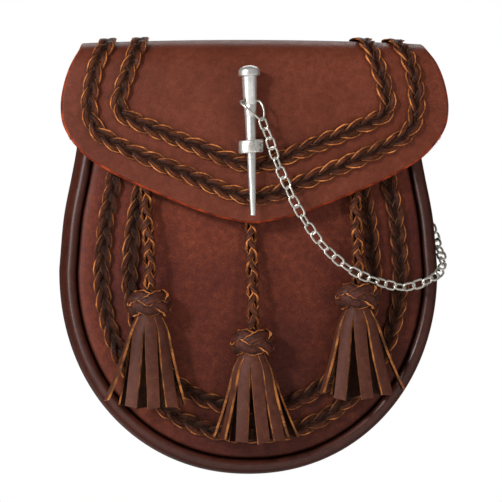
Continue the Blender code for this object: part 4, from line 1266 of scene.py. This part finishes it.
def sew(surface, seam, out):
    """A row of stitches along a line of points, on the side that out points to."""
    count = int(lengths_along(seam)[-1] / STITCH_PITCH)
    points = evenly_spaced(seam, 2 * count + 1)
    for middle, after in zip(points[1::2], points[2::2]):
        ahead = unit(after - middle) * STITCH_LENGTH / 2
        add_thread(surface, middle - ahead, middle + ahead, out, STITCH_RADIUS, STITCH_RISE)


def make_stitches():
    """The flap's hem and the tabs sewn to the back panel, and that to the gusset."""
    back = np.array([0, 1, 0])
    surface = Surface()
    x = np.linspace(-1, 1, 60) * (FLAP_ROWS[0, 2] - HEM_STITCH_INSET)
    sew(surface, flap_surface(x, HEM_STITCH_INSET + 0 * x), back)
    edge = outset(seam_outline(*COARSE_STEPS), BACK_OUTSET - HEM_STITCH_INSET)
    sew(surface, standing(edge[edge[:, 1] < 0], 0), back)
    inner = TAB_START_X + TAB_STITCH_INSETS[0]
    outer = RING_BAR_X - TAB_BEND
    top = TAB_HALF_HEIGHT - TAB_STITCH_INSETS[1]
    for side in (-1, 1):
        corners = np.array([(outer, top), (inner, top), (inner, -top), (outer, -top)])
        seam = standing(corners * (side, 1), GAP + TAB_THICK)
        for ends in zip(seam, seam[1:]):
            sew(surface, np.array(ends), back)
    dress(surface.finish("stitches", [THREAD]))


def make_fibres():
    """Fine fibres that stand out of the flap's cut edge, in its lower part."""
    chance = np.random.default_rng(7)
    surface = Surface()
    for number in range(FIBRES):
        side = 1 if number % 2 else -1
        along = chance.uniform(front_along(FIBRES_FROM_Z), FLAP_ALONG[-1])
        before = along - 0.5 * MM
        x = flap_x(side, along)
        here = flap_surface(x, along)
        normal = flap_normal(x, along)
        ahead = here - flap_surface(flap_x(side, before), before)
        out = -side * unit(np.cross(unit(ahead), normal))
        start = here - chance.uniform(*FIBRE_DEPTH) * normal - FIBRE_ROOT * out
        lean = unit(out + chance.normal(0, 0.5, 3))
        end = start + lean * (chance.uniform(*FIBRE_LENGTH) + FIBRE_ROOT)
        add_thread(surface, start, end, normal, FIBRE_RADIUS, STITCH_RISE, sides=3)
    dress(surface.finish("flap_fibres", [FLAP_EDGE]))


# ---- camera, light and floor

CAMERA_TARGET = Vector((-0.37, -38, -75.5)) * MM
CAMERA_AZIMUTH = radians(-5)
VIEW = Vector((-sin(CAMERA_AZIMUTH), cos(CAMERA_AZIMUTH), 0))
CAMERA_DISTANCE = 4.0
FRAME_SIZE = 0.251  # what the view spans at the target
SENSOR = 36.0
FLOOR_Z = -0.5
BACKDROP_FADE = (7, 4)  # angles from straight behind the pouch, in degrees
ROOM_FADE = (60, 100)
ROOM_LIGHT = (0.12, 0.3)  # round the backdrop, and at the sides and in front
LIGHT_TARGET = (0, -0.02, -0.08)
LIGHTS = [  # name, place, width and height, power, whether the leather mirrors it
    ("key", (-1.7, -1.9, 0.95), (0.34, 0.34), 50, True),
    ("fill", (1.0, -1.7, 0.0), (0.4, 0.4), 12, False),
    ("top", (0.1, 0.9, 0.6), (0.9, 0.3), 3.5, True),
    ("left", (-1.1, -0.7, -0.05), (0.3, 1.3), 10, True),
    ("right", (1.7, -0.8, 0.0), (0.9, 1.2), 3, False),
    ("back", (-0.7, 1.5, 0.3), (0.5, 0.5), 5, False),
]


def aim(obj, place, target):
    """Puts a camera or a light at its place, and turns it to the target."""
    obj.location = place
    obj.rotation_mode = "QUATERNION"
    obj.rotation_quaternion = (Vector(place) - Vector(target)).to_track_quat("Z", "Y")


def make_camera():
    data = bpy.data.cameras.new("camera")
    data.sensor_width = SENSOR
    data.lens = SENSOR * CAMERA_DISTANCE / FRAME_SIZE
    camera = add_object("camera", data)
    aim(camera, CAMERA_TARGET - CAMERA_DISTANCE * VIEW, CAMERA_TARGET)
    bpy.context.scene.camera = camera


def make_world():
    """A white backdrop behind the pouch, dark round it, and a pale room in front."""
    world = bpy.data.worlds.new("studio")
    world.use_nodes = True
    tree = world.node_tree
    direction = add_node(tree, "TexCoord", output="Generated")
    dot = add_node(tree, "VectorMath", [direction, VIEW], "Value", operation="DOT_PRODUCT")
    fades = []
    for angles, light in ((ROOM_FADE, ROOM_LIGHT), (BACKDROP_FADE, (0, 1 - ROOM_LIGHT[0]))):
        inputs = [dot, *np.cos(np.radians(angles)), *light]
        fades.append(add_node(tree, "MapRange", inputs, interpolation_type="SMOOTHSTEP"))
    back = tree.nodes["Background"]
    back.inputs["Color"].default_value = (1, 1, 1, 1)
    tree.links.new(add_node(tree, "Math", fades), back.inputs["Strength"])
    bpy.context.scene.world = world


def make_stage():
    make_camera()
    make_world()
    for name, place, (width, height), power, mirrored in LIGHTS:
        data = bpy.data.lights.new(name, "AREA")
        data.shape = "RECTANGLE"
        data.size = width
        data.size_y = height
        data.energy = power
        light = add_object(name, data)
        light.visible_glossy = mirrored
        aim(light, place, LIGHT_TARGET)
    bpy.ops.mesh.primitive_plane_add(size=10, location=(0, 0, FLOOR_Z))
    floor = bpy.context.object
    floor.name = "floor"
    pale = Finish("floor_paint", Base_Color=(0.8, 0.8, 0.8, 1), Roughness=0.9)
    floor.data.materials.append(pale.material)


make_stage()
bpy.context.scene.view_settings.view_transform = "Standard"
make_back_panel()
make_gusset()
make_front_panel()
make_flap()
make_plaits()
make_tassels()
make_peg()
make_staple()
make_rings()
make_chain()
make_stitches()
make_fibres()
